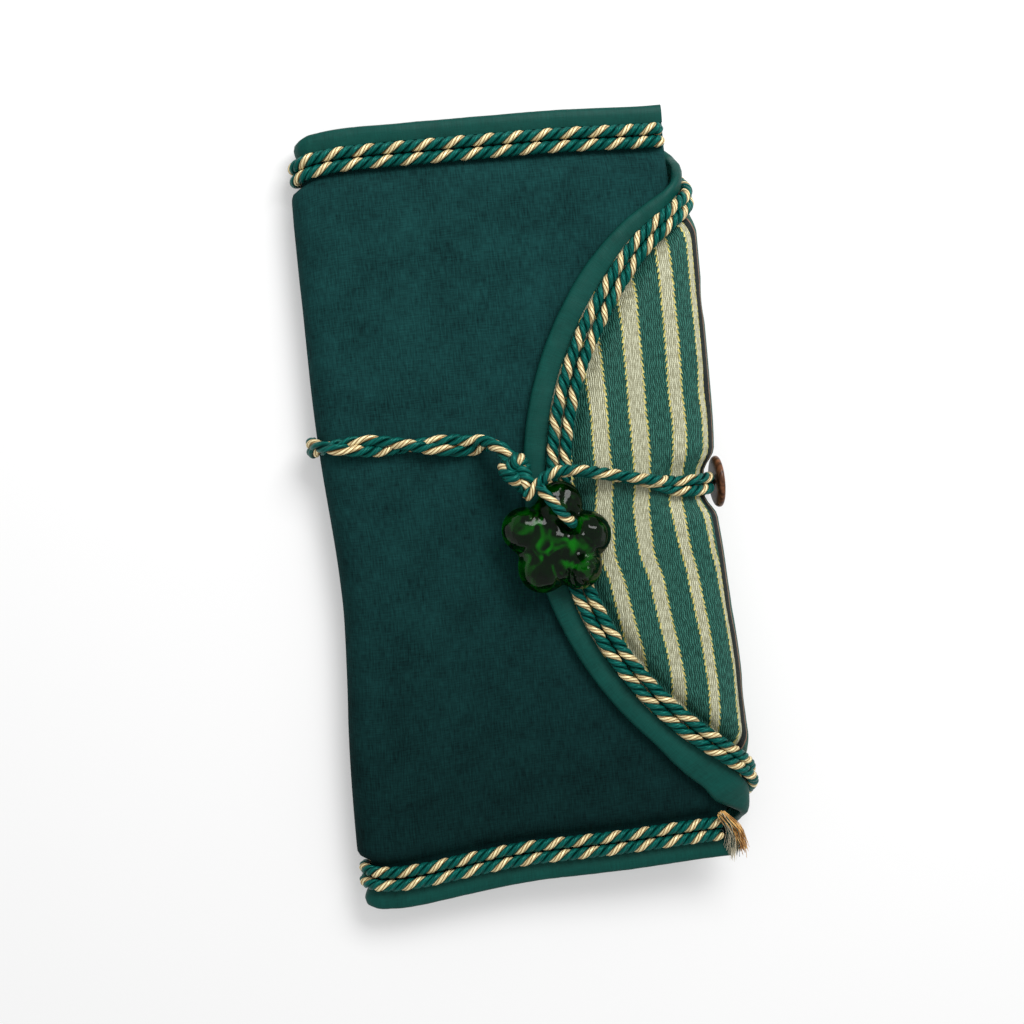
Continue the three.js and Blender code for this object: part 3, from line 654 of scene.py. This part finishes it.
for side, where in ((1, "top"), (-1, "bottom")):
    binding(f"{where}_front_binding", side * seam_side, side * end_side, [f"{where}_binding"], on_root, 21 + side)
    lower = [f"{where}_binding", f"spine_binding_{where}"]
    binding(f"{where}_back_binding", side * cut_side, side * seam_side, lower, over_lower_hinge, 24 + side)
flap_nodes = ["flap_binding", "spine_binding_top", "spine_binding_bottom"]
binding("flap_edge_binding", -cut_side, cut_side, flap_nodes, over_upper_hinge, 27)

hem_half = 112.4
hem_out, hem_high = tape_section(hem_width).T
hem_u, hem_y = np.broadcast_arrays(front_to + hem_out, np.linspace(-hem_half, hem_half, 120)[:, None])
inner_rise = cloth_height(front_to - hem_width, hem_y, 0) - margin_level - 0.8
lifted = hem_high / (margin_level + 0.8) * np.clip(-hem_out / hem_width, 0, 1) ** 0.6 * inner_rise
hem_rings = lay(hem_u, hem_y, hem_high + np.where(hem_high > 1.2, lifted, 0))
hem = loft("front_hem_fold", hem_rings, dark_cloth, np.stack([hem_u, hem_y], -1))
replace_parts(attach(hem, "root"), "front_hem")

# The trim: two cords side by side along every edge, just inside the binding. Each is laid up to the left
# from one gold and two green satin yarns, and is couched down on the cloth. Their upper ends are turned
# over the front panel's free edge.
cord_radius = 1.8
cord_lay = 8.8
cord_level = margin_level + 0.3 + cord_radius


def plied_yarn(name, dark, bright, ply_shade_low, flank_shade, **sockets):
    """Shiny yarn of fine plies, with painted light on their crests and painted shade between them and on the yarn's
    inner side.
    """
    material, tree = shader(name, specular_ior_level=0.35, **sockets)
    step = partial(calc, tree)
    place = node(tree, "UVMap", uv_map="yarn").outputs[0]
    along, around = node(tree, "SeparateXYZ", {0: place}).outputs[:2]
    fibres = noise(tree, place, (400, 9, 1), 2)
    # Painted shade: the colour darkens in the grooves between the plies and on the flanks and inner side of the yarn.
    round_turn = step("MULTIPLY_ADD", around, 5.0, step("MULTIPLY", along, 230))
    ply = step("SINE", step("MULTIPLY", round_turn, tau))
    outer_side = step("COSINE", step("MULTIPLY", around, tau))
    painted_crest_light = step("MULTIPLY", ramp(tree, ply, ply_shade_low, 0.1), ramp(tree, outer_side, *flank_shade, 0.1, 1.0))
    share = step("MULTIPLY", painted_crest_light, ramp(tree, fibres, 0.3, 0.62, 0.5, 1.0))
    feed(tree, "Base Color", mixed(tree, share, dark, bright))
    relief(tree, share, 0.6, 0.0003)
    return material


green_tones = (linear(0, 20, 18), linear(6, 88, 80), -2.0, (-0.1, 0.9))
green_yarn = plied_yarn("green_yarn", *green_tones, roughness=0.38, specular_tint=(0.2, 1.0, 0.85, 1))
gold_tones = (linear(128, 86, 34), linear(255, 240, 188), -1.2, (-0.5, 0.85))
gold_yarn = plied_yarn("gold_yarn", *gold_tones, roughness=0.34, metallic=0.15, specular_tint=(1.0, 0.86, 0.55, 1))


def unit(vectors):
    return vectors / np.maximum(np.linalg.norm(vectors, axis=-1, keepdims=True), 1e-12)


def all_round(count):
    """Angles all the way round, in equal steps."""
    return np.arange(count) * tau / count


def circles(first, second, sides):
    """A circle of radius 1 at each point of a line, from two directions across it."""
    theta = all_round(sides)[:, None]
    return first[:, None] * np.cos(theta) + second[:, None] * np.sin(theta)


def of_materials(made, more, kinds):
    """Give a piece more materials, and each of its equal parts the material of its kind."""
    for material in more:
        made.data.materials.append(material)
    index = np.repeat(kinds, len(made.data.polygons) // len(kinds))
    made.data.polygons.foreach_set("material_index", index.astype(np.int32))
    return made


def twisted(name, axis, across, up, radius, length, phase, lay_length, sides=12):
    """Three ridged yarns laid up to the left round an axis, the first of them gold. Sizes in millimetres."""
    yarn_radius = radius * 0.51 * MM
    orbit = radius * 0.52 * MM
    points, faces = [], []
    count = len(axis)
    to_end = np.minimum(length - length[0], length[-1] - length)
    taper = np.clip(to_end / (radius * 0.25) + 0.55, 0, 1)[:, None, None]
    for yarn in range(3):
        turn = phase - tau * (length / lay_length + yarn / 3)
        off = orbit * (np.cos(turn)[:, None] * across + np.sin(turn)[:, None] * up)
        middle = axis + off
        along = unit(np.gradient(middle, axis=0))
        first = unit(off - along * (off * along).sum(-1, keepdims=True))
        ridge = 1 + 0.05 * np.cos(3 * all_round(sides) + 3 * turn[:, None])[..., None]
        ring = circles(first, np.cross(along, first), sides)
        points.append((middle[:, None] + yarn_radius * taper * ridge * ring).reshape(-1, 3))
        faces += tube_faces(count, sides, yarn * count * sides)
    points = np.concatenate(points)
    points[:, 2] = np.maximum(points[:, 2], 0)
    made = new_piece(name, points, faces, gold_yarn)
    near, far = (np.repeat(ends, sides) * MM for ends in (length[:-1], length[1:]))
    left = np.tile(np.arange(sides) / sides, count - 1)
    right = left + 1 / sides
    corners = np.stack([near, left, near, right, far, right, far, left], -1).reshape(-1, 2)
    keep_uv(made.data, "yarn", np.tile(np.concatenate([corners, np.zeros((2 * sides, 2))]), (3, 1)))
    return of_materials(made, [green_yarn], [0, 1, 1])


def trim_inset(row):
    return lambda u: binding_width(u) + 0.3 + cord_radius + row * (2 * cord_radius + 0.3)


def trim(name, ends, cord, nodes, lay_on):
    """One stretch of a trim cord, with the twist that the whole cord has there."""
    row, phase, *whole = cord
    start, end = sorted(ends)
    u, y, out_u, out_y, _ = edge_line(start, end, trim_inset(row), 0.55)
    length = np.interp(np.linspace(start, end, len(u)), *whole)
    level = cord_level + 0.12 * np.sin(length / 7.3)
    axis = lay(u, y, level)
    short = np.stack([smooth(u, front_to - 16, front_to), 0 * u, 0 * u], -1) * 2.2 * MM
    across = unit(lay(u + 0.5 * out_u, y + 0.5 * out_y, level) - axis)
    up = unit(lay(u, y, level + 0.5) - axis)
    made = twisted(name, axis - short, across, up, cord_radius, length, phase, cord_lay)
    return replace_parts(lay_on(made), *nodes)


tuck_side = side_at(front_to + 6.5)
for row, row_name, phase in ((0, "outer", 0.4), (1, "inner", 1.5)):
    q_all = np.linspace(-tuck_side, tuck_side, 4000)
    cord = (row, phase, q_all, run_length(np.stack(edge(q_all, trim_inset(row)(edge(q_all, 0)[0]))[:2], -1)))
    for side, where, last in ((1, "top", tuck_side), (-1, "bottom", end_side)):
        front = [f"{where}_cord_{row_name}"]
        trim(f"{where}_front_cord_{row_name}", (side * seam_side, side * last), cord, front, on_root)
        lower = [*front, f"spine_cord_{where}_{row_name}"]
        trim(f"{where}_back_cord_{row_name}", (side * cut_side, side * seam_side), cord, lower, over_lower_hinge)
    upper = [f"flap_cord_{row_name}", f"spine_cord_top_{row_name}", f"spine_cord_bottom_{row_name}"]
    trim(f"flap_edge_cord_{row_name}", (-cut_side, cut_side), cord, upper, over_upper_hinge)


# The end of the trim cords at the lower corner of the flap is cut and frays out into a tuft of loose yarn.
# It is made of single filaments, gold for the most part, that leave the cord together and spread.
pale_yarn = shader("pale_yarn", roughness=0.6, base_color=linear(214, 204, 176))[0]
loose_gold, loose_tree = shader("loose_gold_yarn", roughness=0.5)
loose_place = node(loose_tree, "TexCoord").outputs["Object"]
loose_share = ramp(loose_tree, noise(loose_tree, loose_place, 420, 2), 0.35, 0.65)
feed(loose_tree, "Base Color", mixed(loose_tree, loose_share, linear(150, 100, 38), linear(226, 180, 108)))


def through(points, count):
    """A smooth curve through points, as that many points of it."""
    p = np.asarray(points, float)
    p = np.concatenate([[2 * p[0] - p[1]], p, [2 * p[-1] - p[-2]]])
    t = np.linspace(0, len(p) - 3, count)
    i = np.minimum(t.astype(int), len(p) - 4)
    s = (t - i)[:, None]
    a, b, c, d = p[i], p[i + 1], p[i + 2], p[i + 3]
    bend = 2 * a - 5 * b + 4 * c - d + s * (3 * (b - c) + d - a)
    return b + 0.5 * s * (c - a + s * bend)


def box_mm(name):
    """The low and the high corner of a CAD node's box, in millimetres."""
    return [np.array(corner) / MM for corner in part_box(name)]


def filaments(name, lines, thick, sides, materials, kinds=(0,)):
    """Fine round filaments as one mesh, each along its own line and thinner at the tip."""
    points, faces = [], []
    for line, radius in zip(lines, np.broadcast_to(thick, len(lines))):
        along = unit(np.gradient(line, axis=0))
        first = unit(np.cross(along, (0.3, 0.2, 1)))
        thin = radius * MM * np.linspace(1, 0.45, len(line))[:, None, None]
        faces += tube_faces(len(line), sides, sum(map(len, points)))
        points.append((line[:, None] + thin * circles(first, np.cross(along, first), sides)).reshape(-1, 3))
    made = new_piece(name, np.concatenate(points), faces, materials[0])
    made.data.uv_layers.new(name="yarn")
    return of_materials(made, materials[1:], kinds)


fray_low, fray_high = box_mm("frayed_cord_end")
fray_rng = np.random.default_rng(41)
fray_kinds = [0, 0, 0, 0, 0, 0, 1, 1, 2, 2] * 42
fray_thick = [(0.17, 0.17, 0.09)[kind] for kind in fray_kinds]
fray_lines = []
fray_start = np.array([fray_low[0] - 3.2, fray_high[1] + 4.6, fray_high[2] + 1.4])
fray_way = np.array([fray_high[0] - 1.2, fray_low[1] + 2.0, fray_low[2] + 0.6]) - fray_start
for kind in fray_kinds:
    spread = fray_rng.normal(0, 1, 3)
    reach = fray_rng.uniform(0.7, 1.0)
    aside = np.array([(0, 0, 0), (-3.2, -0.6, 0), (-3.4, -2.6, 0)][kind])
    bent = fray_start + (fray_way + aside * 0.7) * 0.5 * reach + spread * (0.8, 0.7, 0.7) + (0.3, 0, 0.6)
    tip = fray_start + (fray_way + aside) * reach + spread * (0.95, 0.8, 0.8) + (-1.8, 0, -0.3)
    tip[2] = max(tip[2], 0.4)
    curved = through([fray_start + spread * 0.5, bent, tip], 13)
    sway = np.sin(np.linspace(0, 9, 13) + fray_rng.uniform(0, 6.3))[:, None] * fray_rng.normal(0, 0.16, 3)
    fray_lines.append((curved + sway * np.linspace(0, 1, 13)[:, None]) * MM)
fray_yarns = [loose_gold, green_yarn, pale_yarn]
tuft = filaments("frayed_yarn_tuft", fray_lines, fray_thick, 5, fray_yarns, fray_kinds)
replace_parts(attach(tuft, "root"), "frayed_cord_end")

# The tie: one cord laid double. It comes from under the button, runs over the flap to the knot and the other
# way over the spine and the back, round the left fold and over the front panel up to the knot. The left
# stretch is the one that is lifted off.
tie_radius, flap_tie_radius, left_tie_radius = 1.75, 1.65, 1.85
left_tie_lay = 12.5
button_up = 12.5
button_u = -(low_turn * pi / 2 + button_up - low_turn)
flap_tie_points = [
    (0, 1.2), (6, 2.0), (12, 3.0), (21, 4.9), (31, 7.3), (39, 8.3), (44.3, 7.0), (48.2, 3.4), (51, 1.4),
]
flap_tie = through([(-spine_length - along, y, 0) for along, y in flap_tie_points], 160)


def even_line(line, step):
    """The same line with points one step apart."""
    length = run_length(line)
    at = np.linspace(0, length[-1], round(length[-1] / step) + 1)
    return np.stack([np.interp(at, length, line[:, k]) for k in range(3)], -1)


def rope(name, line, radius, lay_length, phase, start=(0, 0, 1)):
    """A twisted cord along any line in metres, whose frame is carried along untwisted."""
    line = even_line(line, 0.5 * MM)
    along = unit(np.gradient(line, axis=0))
    up = np.zeros_like(line)
    side = np.asarray(start, float)
    for k, direction in enumerate(along):
        side = unit(side - direction * side.dot(direction))
        up[k] = side
    length = run_length(line) / MM
    length += 1.1 * np.sin(length / 4.7 + 2 * phase)
    return twisted(name, line, np.cross(up, along), up, radius, length, phase, lay_length)


def tie_line(u, y, spread, lift=0):
    """The line of one of the tie's two cords on the roll, in metres, that far to the side of its middle."""
    level = thickness - groove_depth * groove(u, tie_y(u)) + 0.1 + tie_radius
    slope_y = np.gradient(y, u)
    size = np.hypot(1, slope_y)
    return lay(u - spread * slope_y / size, y + spread / size, level + lift)


lower_u = np.linspace(button_u + 1.2, fold_middle, 320)
upper_u = np.concatenate([np.linspace(button_u - 1.2, -spine_length, 50, endpoint=False), flap_tie[:, 0]])
upper_y = np.interp(-upper_u, -flap_tie[:, 0], flap_tie[:, 1])
along_flap = smooth(-upper_u, spine_length - 4, spine_length + 17)
down_again = 0.1 * smooth(-upper_u, spine_length + 44, spine_length + 51)
over_petal = 3.9 * smooth(-upper_u, spine_length + 22, spine_length + 34) * (1 - down_again)
for number, side, phase in ((1, 1, 0.2), (2, -1, 1.9)):
    lower_line = tie_line(lower_u, tie_y(lower_u), side * 1.5)
    made = rope(f"tie_back_cord_{number}", lower_line, tie_radius, cord_lay, phase)
    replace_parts(over_lower_hinge(made), "tie_back", "tie_spine_lower")
    apart = side * (1.7 - 1.45 * along_flap)
    lift = (side + 0.6) * 1.1 * along_flap - 0.3 * (1 - along_flap) + over_petal
    upper_line = tie_line(upper_u, upper_y - 1.2 * (1 - along_flap), apart, lift)
    made = rope(f"tie_flap_cord_{number}", upper_line, flap_tie_radius, cord_lay, phase)
    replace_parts(over_upper_hinge(made), "tie_flap", "tie_spine_upper")

hinge_line = surface(-spine_length)
flap_hinge = np.array([hinge_line[0], fold_slant / 2, hinge_line[1]])


def on_flap(x, y, up):
    """A point over the flap's cloth in metres, from its x, y and height in millimetres."""
    run = np.asarray(x, float) - flap_hinge[0]
    place = (run - up * sin(slope), y, run * tan(slope) + up * cos(slope))
    return (flap_hinge + np.stack(np.broadcast_arrays(*place), -1)) * MM


knot_x, knot_y = -2.9, 8.5
left_end = np.array([knot_x - 5.6, knot_y + 8.6 + fold_slant / 2, flap_hinge[2] - 1.6])
left_u = np.linspace(fold_middle - 1, front_from + 38, 90)
knot_middle = on_flap(knot_x, knot_y, 3.2) / MM
flat_middle = tie_line(left_u, tie_y(left_u), 0) / MM
halfway = (flat_middle[-1] + left_end) / 2 + (0, 0.9, -0.6)
to_knot = (left_end + knot_middle) / 2 + (0, 1.0, 0.6)
climb = through([flat_middle[-12], flat_middle[-1], halfway, left_end, to_knot, knot_middle], 110)
left_middle = even_line(np.concatenate([flat_middle[:-12], climb]) * MM, 0.5 * MM) / MM
left_run = run_length(left_middle)
about = 0.25 + tau * left_run / 52
held = 1.55 - 0.5 * smooth(left_run, left_run[-1] - 16, left_run[-1])
off = held[:, None] * np.stack([0 * about, np.cos(about), 0.62 * np.sin(about)], -1)
for number, side, phase in ((1, 1, 0.0), (2, -1, 2.4)):
    line = (left_middle + side * off + (0, 0, 0.35)) * MM
    made = rope(f"tie_left_cord_{number}", line, left_tie_radius, left_tie_lay, phase)
    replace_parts(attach(made, "tie_end"), "tie_left")

# The knot in which the tie's two stretches meet, an overhand knot drawn tight, and the short cord that runs
# from it over the bead's upper petal and down into its hole.
knot_turn = radians(118)
knot_t = np.linspace(0, tau, 200)
knot_size, knot_up, knot_lift = 1.75, 3.9, 1.8
knot_long = knot_size * (np.cos(knot_t) - 2 * np.cos(2 * knot_t))
knot_wide = np.sin(knot_t) + 2 * np.sin(2 * knot_t)
knot_line = on_flap(
    knot_x - 0.8 + knot_long * cos(knot_turn) + knot_wide * sin(knot_turn),
    knot_y + 0.6 + knot_long * sin(knot_turn) - knot_wide * cos(knot_turn),
    knot_up - knot_lift * np.sin(3 * knot_t),
)
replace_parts(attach(rope("tie_knot_cord", knot_line, 2.2, 7.6, 2.6, (1, 0, 0)), "flap"), "tie_knot")
bead_hole_x, bead_hole_y = 11, -7.3
bead_cord_points = [
    (2.2, 4.4, 7.6), (2.9, 2.9, 9.4), (4.3, 0.9, 10.9), (6.4, -1.9, 10.9), (8.6, -4.8, 9.8),
    (bead_hole_x, bead_hole_y, 6.5), (bead_hole_x, bead_hole_y, 2.7),
]
bead_cord_line = on_flap(*np.transpose(bead_cord_points))
bead_rope = rope("bead_hanging_cord", through(bead_cord_line, 90), 1.6, 8.2, 1.2, (1, 0, 0))
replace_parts(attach(bead_rope, "flap"), "bead_cord")

# The flower bead, pressed in bottle-green glass: five rounded petals of uneven size round a dished middle,
# with a moulded curl in the lower right one and a bore for the cord near its upper edge.
glass, glass_tree = shader(
    "bottle_green_glass", roughness=0.05, ior=1.28, specular_ior_level=0.1, transmission_weight=0.85,
    emission_color=linear(0, 120, 6),
)
# Painted light: a green glow of caustics, in streaks round a point in the lower petals, lightens the glass's colour
# and is given off as emission.
glass_place = node(glass_tree, "TexCoord").outputs["Object"]
glow_middle = tuple(on_flap(bead_hole_x - 4.5, bead_hole_y - 5, 6))
glow_far = node(glass_tree, "VectorMath", {0: glass_place, 1: glow_middle}, operation="DISTANCE").outputs["Value"]
glow_near = ramp(glass_tree, glow_far, 0.004, 0.015, 1.0, 0.2)
painted_glow_streaks = ramp(glass_tree, noise(glass_tree, glass_place, 150, 1, Distortion=1.2), 0.46, 0.7)
painted_glow = calc(glass_tree, "MULTIPLY", painted_glow_streaks, glow_near)
feed(glass_tree, "Base Color", mixed(glass_tree, painted_glow, linear(0, 44, 6), linear(4, 176, 14)))
feed(glass_tree, "Emission Strength", calc(glass_tree, "MULTIPLY", painted_glow, 0.3))
petals = np.array([
    (-14.4, -0.9, 7.0, 7.4), (-2.8, 6.4, 6.8, 4.0), (4.8, -4.2, 7.4, 7.4), (1.2, -13.6, 7.2, 8.2),
    (-9.8, -13.2, 7.6, 8.0), (-5.2, -4.6, 12.4, 7.0),
])
bore_radius = 1.7
bead_turns, bead_rings = 240, 34


def bead_outline(angle):
    """How far the bead reaches from its bore at each angle: the petals' circles, smoothed."""
    reach = []
    for x, y, size, _ in petals:
        near = np.cos(angle) * x + np.sin(angle) * y
        room = size**2 - (x * x + y * y - near**2)
        reach.append(np.where(room > 0, np.maximum(near + np.sqrt(np.maximum(room, 0)), 0), 0))
    return np.log(np.exp(np.array(reach) * 1.1).sum(0)) / 1.1 - 0.5


def bead_dome(x, y):
    """The height of the petals over a point of the bead, from 0 at its rim."""
    total = np.zeros(np.shape(x))
    for px, py, size, high in petals:
        away = ((x - px) ** 2 + (y - py) ** 2) / size**2
        total = total + np.exp(4 * high / 9 * np.clip(1 - away, 0, 1) ** 0.8) - 1
    return np.log1p(total) / 4.6


bead_angle = all_round(bead_turns)
bead_reach = bead_outline(bead_angle)
bead_share = np.sin(np.linspace(0, 1, bead_rings) * pi / 2)
bead_out = bore_radius + (bead_reach[None, :] - bore_radius) * bead_share[:, None]
bead_x, bead_y = bead_out * np.cos(bead_angle), bead_out * np.sin(bead_angle)
rim_round = np.sqrt(np.clip(1 - bead_share**7, 0, 1))[:, None]
curl_x, curl_y = bead_x - 3.2, bead_y + 16.0
curl_away = np.hypot(curl_x, curl_y)
curl_side = smooth(-curl_x + curl_y, -3, 3) * smooth(8.0 - curl_away, 0, 1.5) * smooth(curl_away, 0.8, 1.8)
curl = 0.46 * np.cos(tau * curl_away / 1.8) * curl_side
dished = 1.6 * bell(bead_out, bore_radius, 1.6)
folds = 0.34 * bumps(bead_x, bead_y, 7, 31) + 0.16 * bumps(bead_x, bead_y, 3, 32)
rim_up = 2.2
bead_high = rim_up + (bead_dome(bead_x, bead_y) * 7.0 + 0.9 + curl + folds - dished) * rim_round
bead_low = rim_up - 1.7 * rim_round * np.ones_like(bead_out)
bead_low[-1] = bead_high[-1] = rim_up
bead_points = [on_flap(bead_hole_x + bead_x, bead_hole_y + bead_y, high) for high in (bead_high, bead_low)]
bead_cycle = np.concatenate([bead_points[0], bead_points[1][-2::-1]])
number = np.arange(len(bead_cycle) * bead_turns).reshape(-1, bead_turns)
following = np.roll(number, -1, 0)
bead_faces = np.stack([number, following, np.roll(following, -1, 1), np.roll(number, -1, 1)], -1).reshape(-1, 4)
bead = new_piece("glass_flower", bead_cycle.reshape(-1, 3), bead_faces, glass)
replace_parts(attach(bead, "bead"), "glass_flower_bead")

# The side button, a turned disc of dark horn with a rolled rim and two sewing holes. It stands on a shank of
# thread on the spine and the tie's loop goes round it. Two stitches show between the holes.
horn, horn_tree = shader("dark_horn", roughness=0.32, specular_ior_level=0.25)
horn_place = node(horn_tree, "TexCoord").outputs["Object"]
horn_grain = ramp(horn_tree, noise(horn_tree, horn_place, (200, 200, 900), 4, Distortion=0.6), 0.35, 0.7)
feed(horn_tree, "Base Color", mixed(horn_tree, horn_grain, linear(40, 22, 14), linear(128, 82, 52)))
button_radius, hole_radius, hole_apart = 8, 0.9, 3.4
button_low, button_high = box_mm("side_button")
button_middle = (button_low + button_high) / 2
button_shift = float(drawn(button_u, 0))
button_base = button_low[0] + button_shift
profile = [
    (0.0, 1.25), (0.35, 1.25), (0.62, 1.32), (0.74, 1.6), (0.82, 2.02), (0.88, 2.2), (0.94, 2.14), (0.985, 1.85),
    (1.0, 1.4), (0.985, 0.9), (0.93, 0.42), (0.82, 0.12), (0.6, 0.0), (0.0, 0.0),
]
profile_line = through([(r * button_radius, h, 0) for r, h in profile], 90)
button_angle = all_round(96)
ring_r = np.maximum(profile_line[:, 0], 0.02)[:, None]
button_y, button_z = ring_r * np.cos(button_angle), ring_r * np.sin(button_angle)
sunk = sum(
    1 - smooth(np.hypot(button_y, button_z - side * hole_apart / 2), hole_radius * 0.8, hole_radius * 1.15)
    for side in (1, -1)
)
middle_high = 0.62
button_h = middle_high + (profile_line[:, 1:2] - middle_high) * (1 - 0.94 * sunk)
button_rings = np.stack([button_base + button_h, button_middle[1] + button_y, button_middle[2] + button_z], -1) * MM
button = loft("horn_button", button_rings, horn)
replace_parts(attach(button, "button"), "side_button")
thread = shader("sewing_thread", roughness=0.7, base_color=linear(20, 62, 58))[0]
thread_lines = []
shank_foot = np.array([box_mm("button_thread")[0][0] - 0.3 + button_shift, *button_middle[1:]])
shank_way = np.array([button_base + 0.5 - shank_foot[0], 0, 0])
swing = np.linspace(0, 1, 14)[:, None]
for turn in all_round(10):
    off = 0.62 * np.concatenate([0 * swing, np.cos(turn + 2.4 * swing), np.sin(turn + 2.4 * swing)], -1)
    thread_lines.append((shank_foot + shank_way * swing + off * (1.25 - 0.5 * np.sin(pi * swing))) * MM)
shank = filaments("button_shank_thread", thread_lines, 0.24, 8, [thread])
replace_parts(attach(shank, "spine"), "button_thread")
stitch_lines = []
face, half = button_base + 1.25, hole_apart / 2
stitch = [(-1.1, half), (0.15, half - 0.35), (0.3, 0), (0.15, 0.35 - half), (-1.1, -half)]
for aside in (-0.63, -0.21, 0.21, 0.63):
    way = [(face + x, button_middle[1] + aside, button_middle[2] + z) for x, z in stitch]
    stitch_lines.append(through(way, 24) * MM)
stitches = filaments("button_stitches", stitch_lines, 0.2, 8, [thread])
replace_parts(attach(stitches, "button"), "side_button")
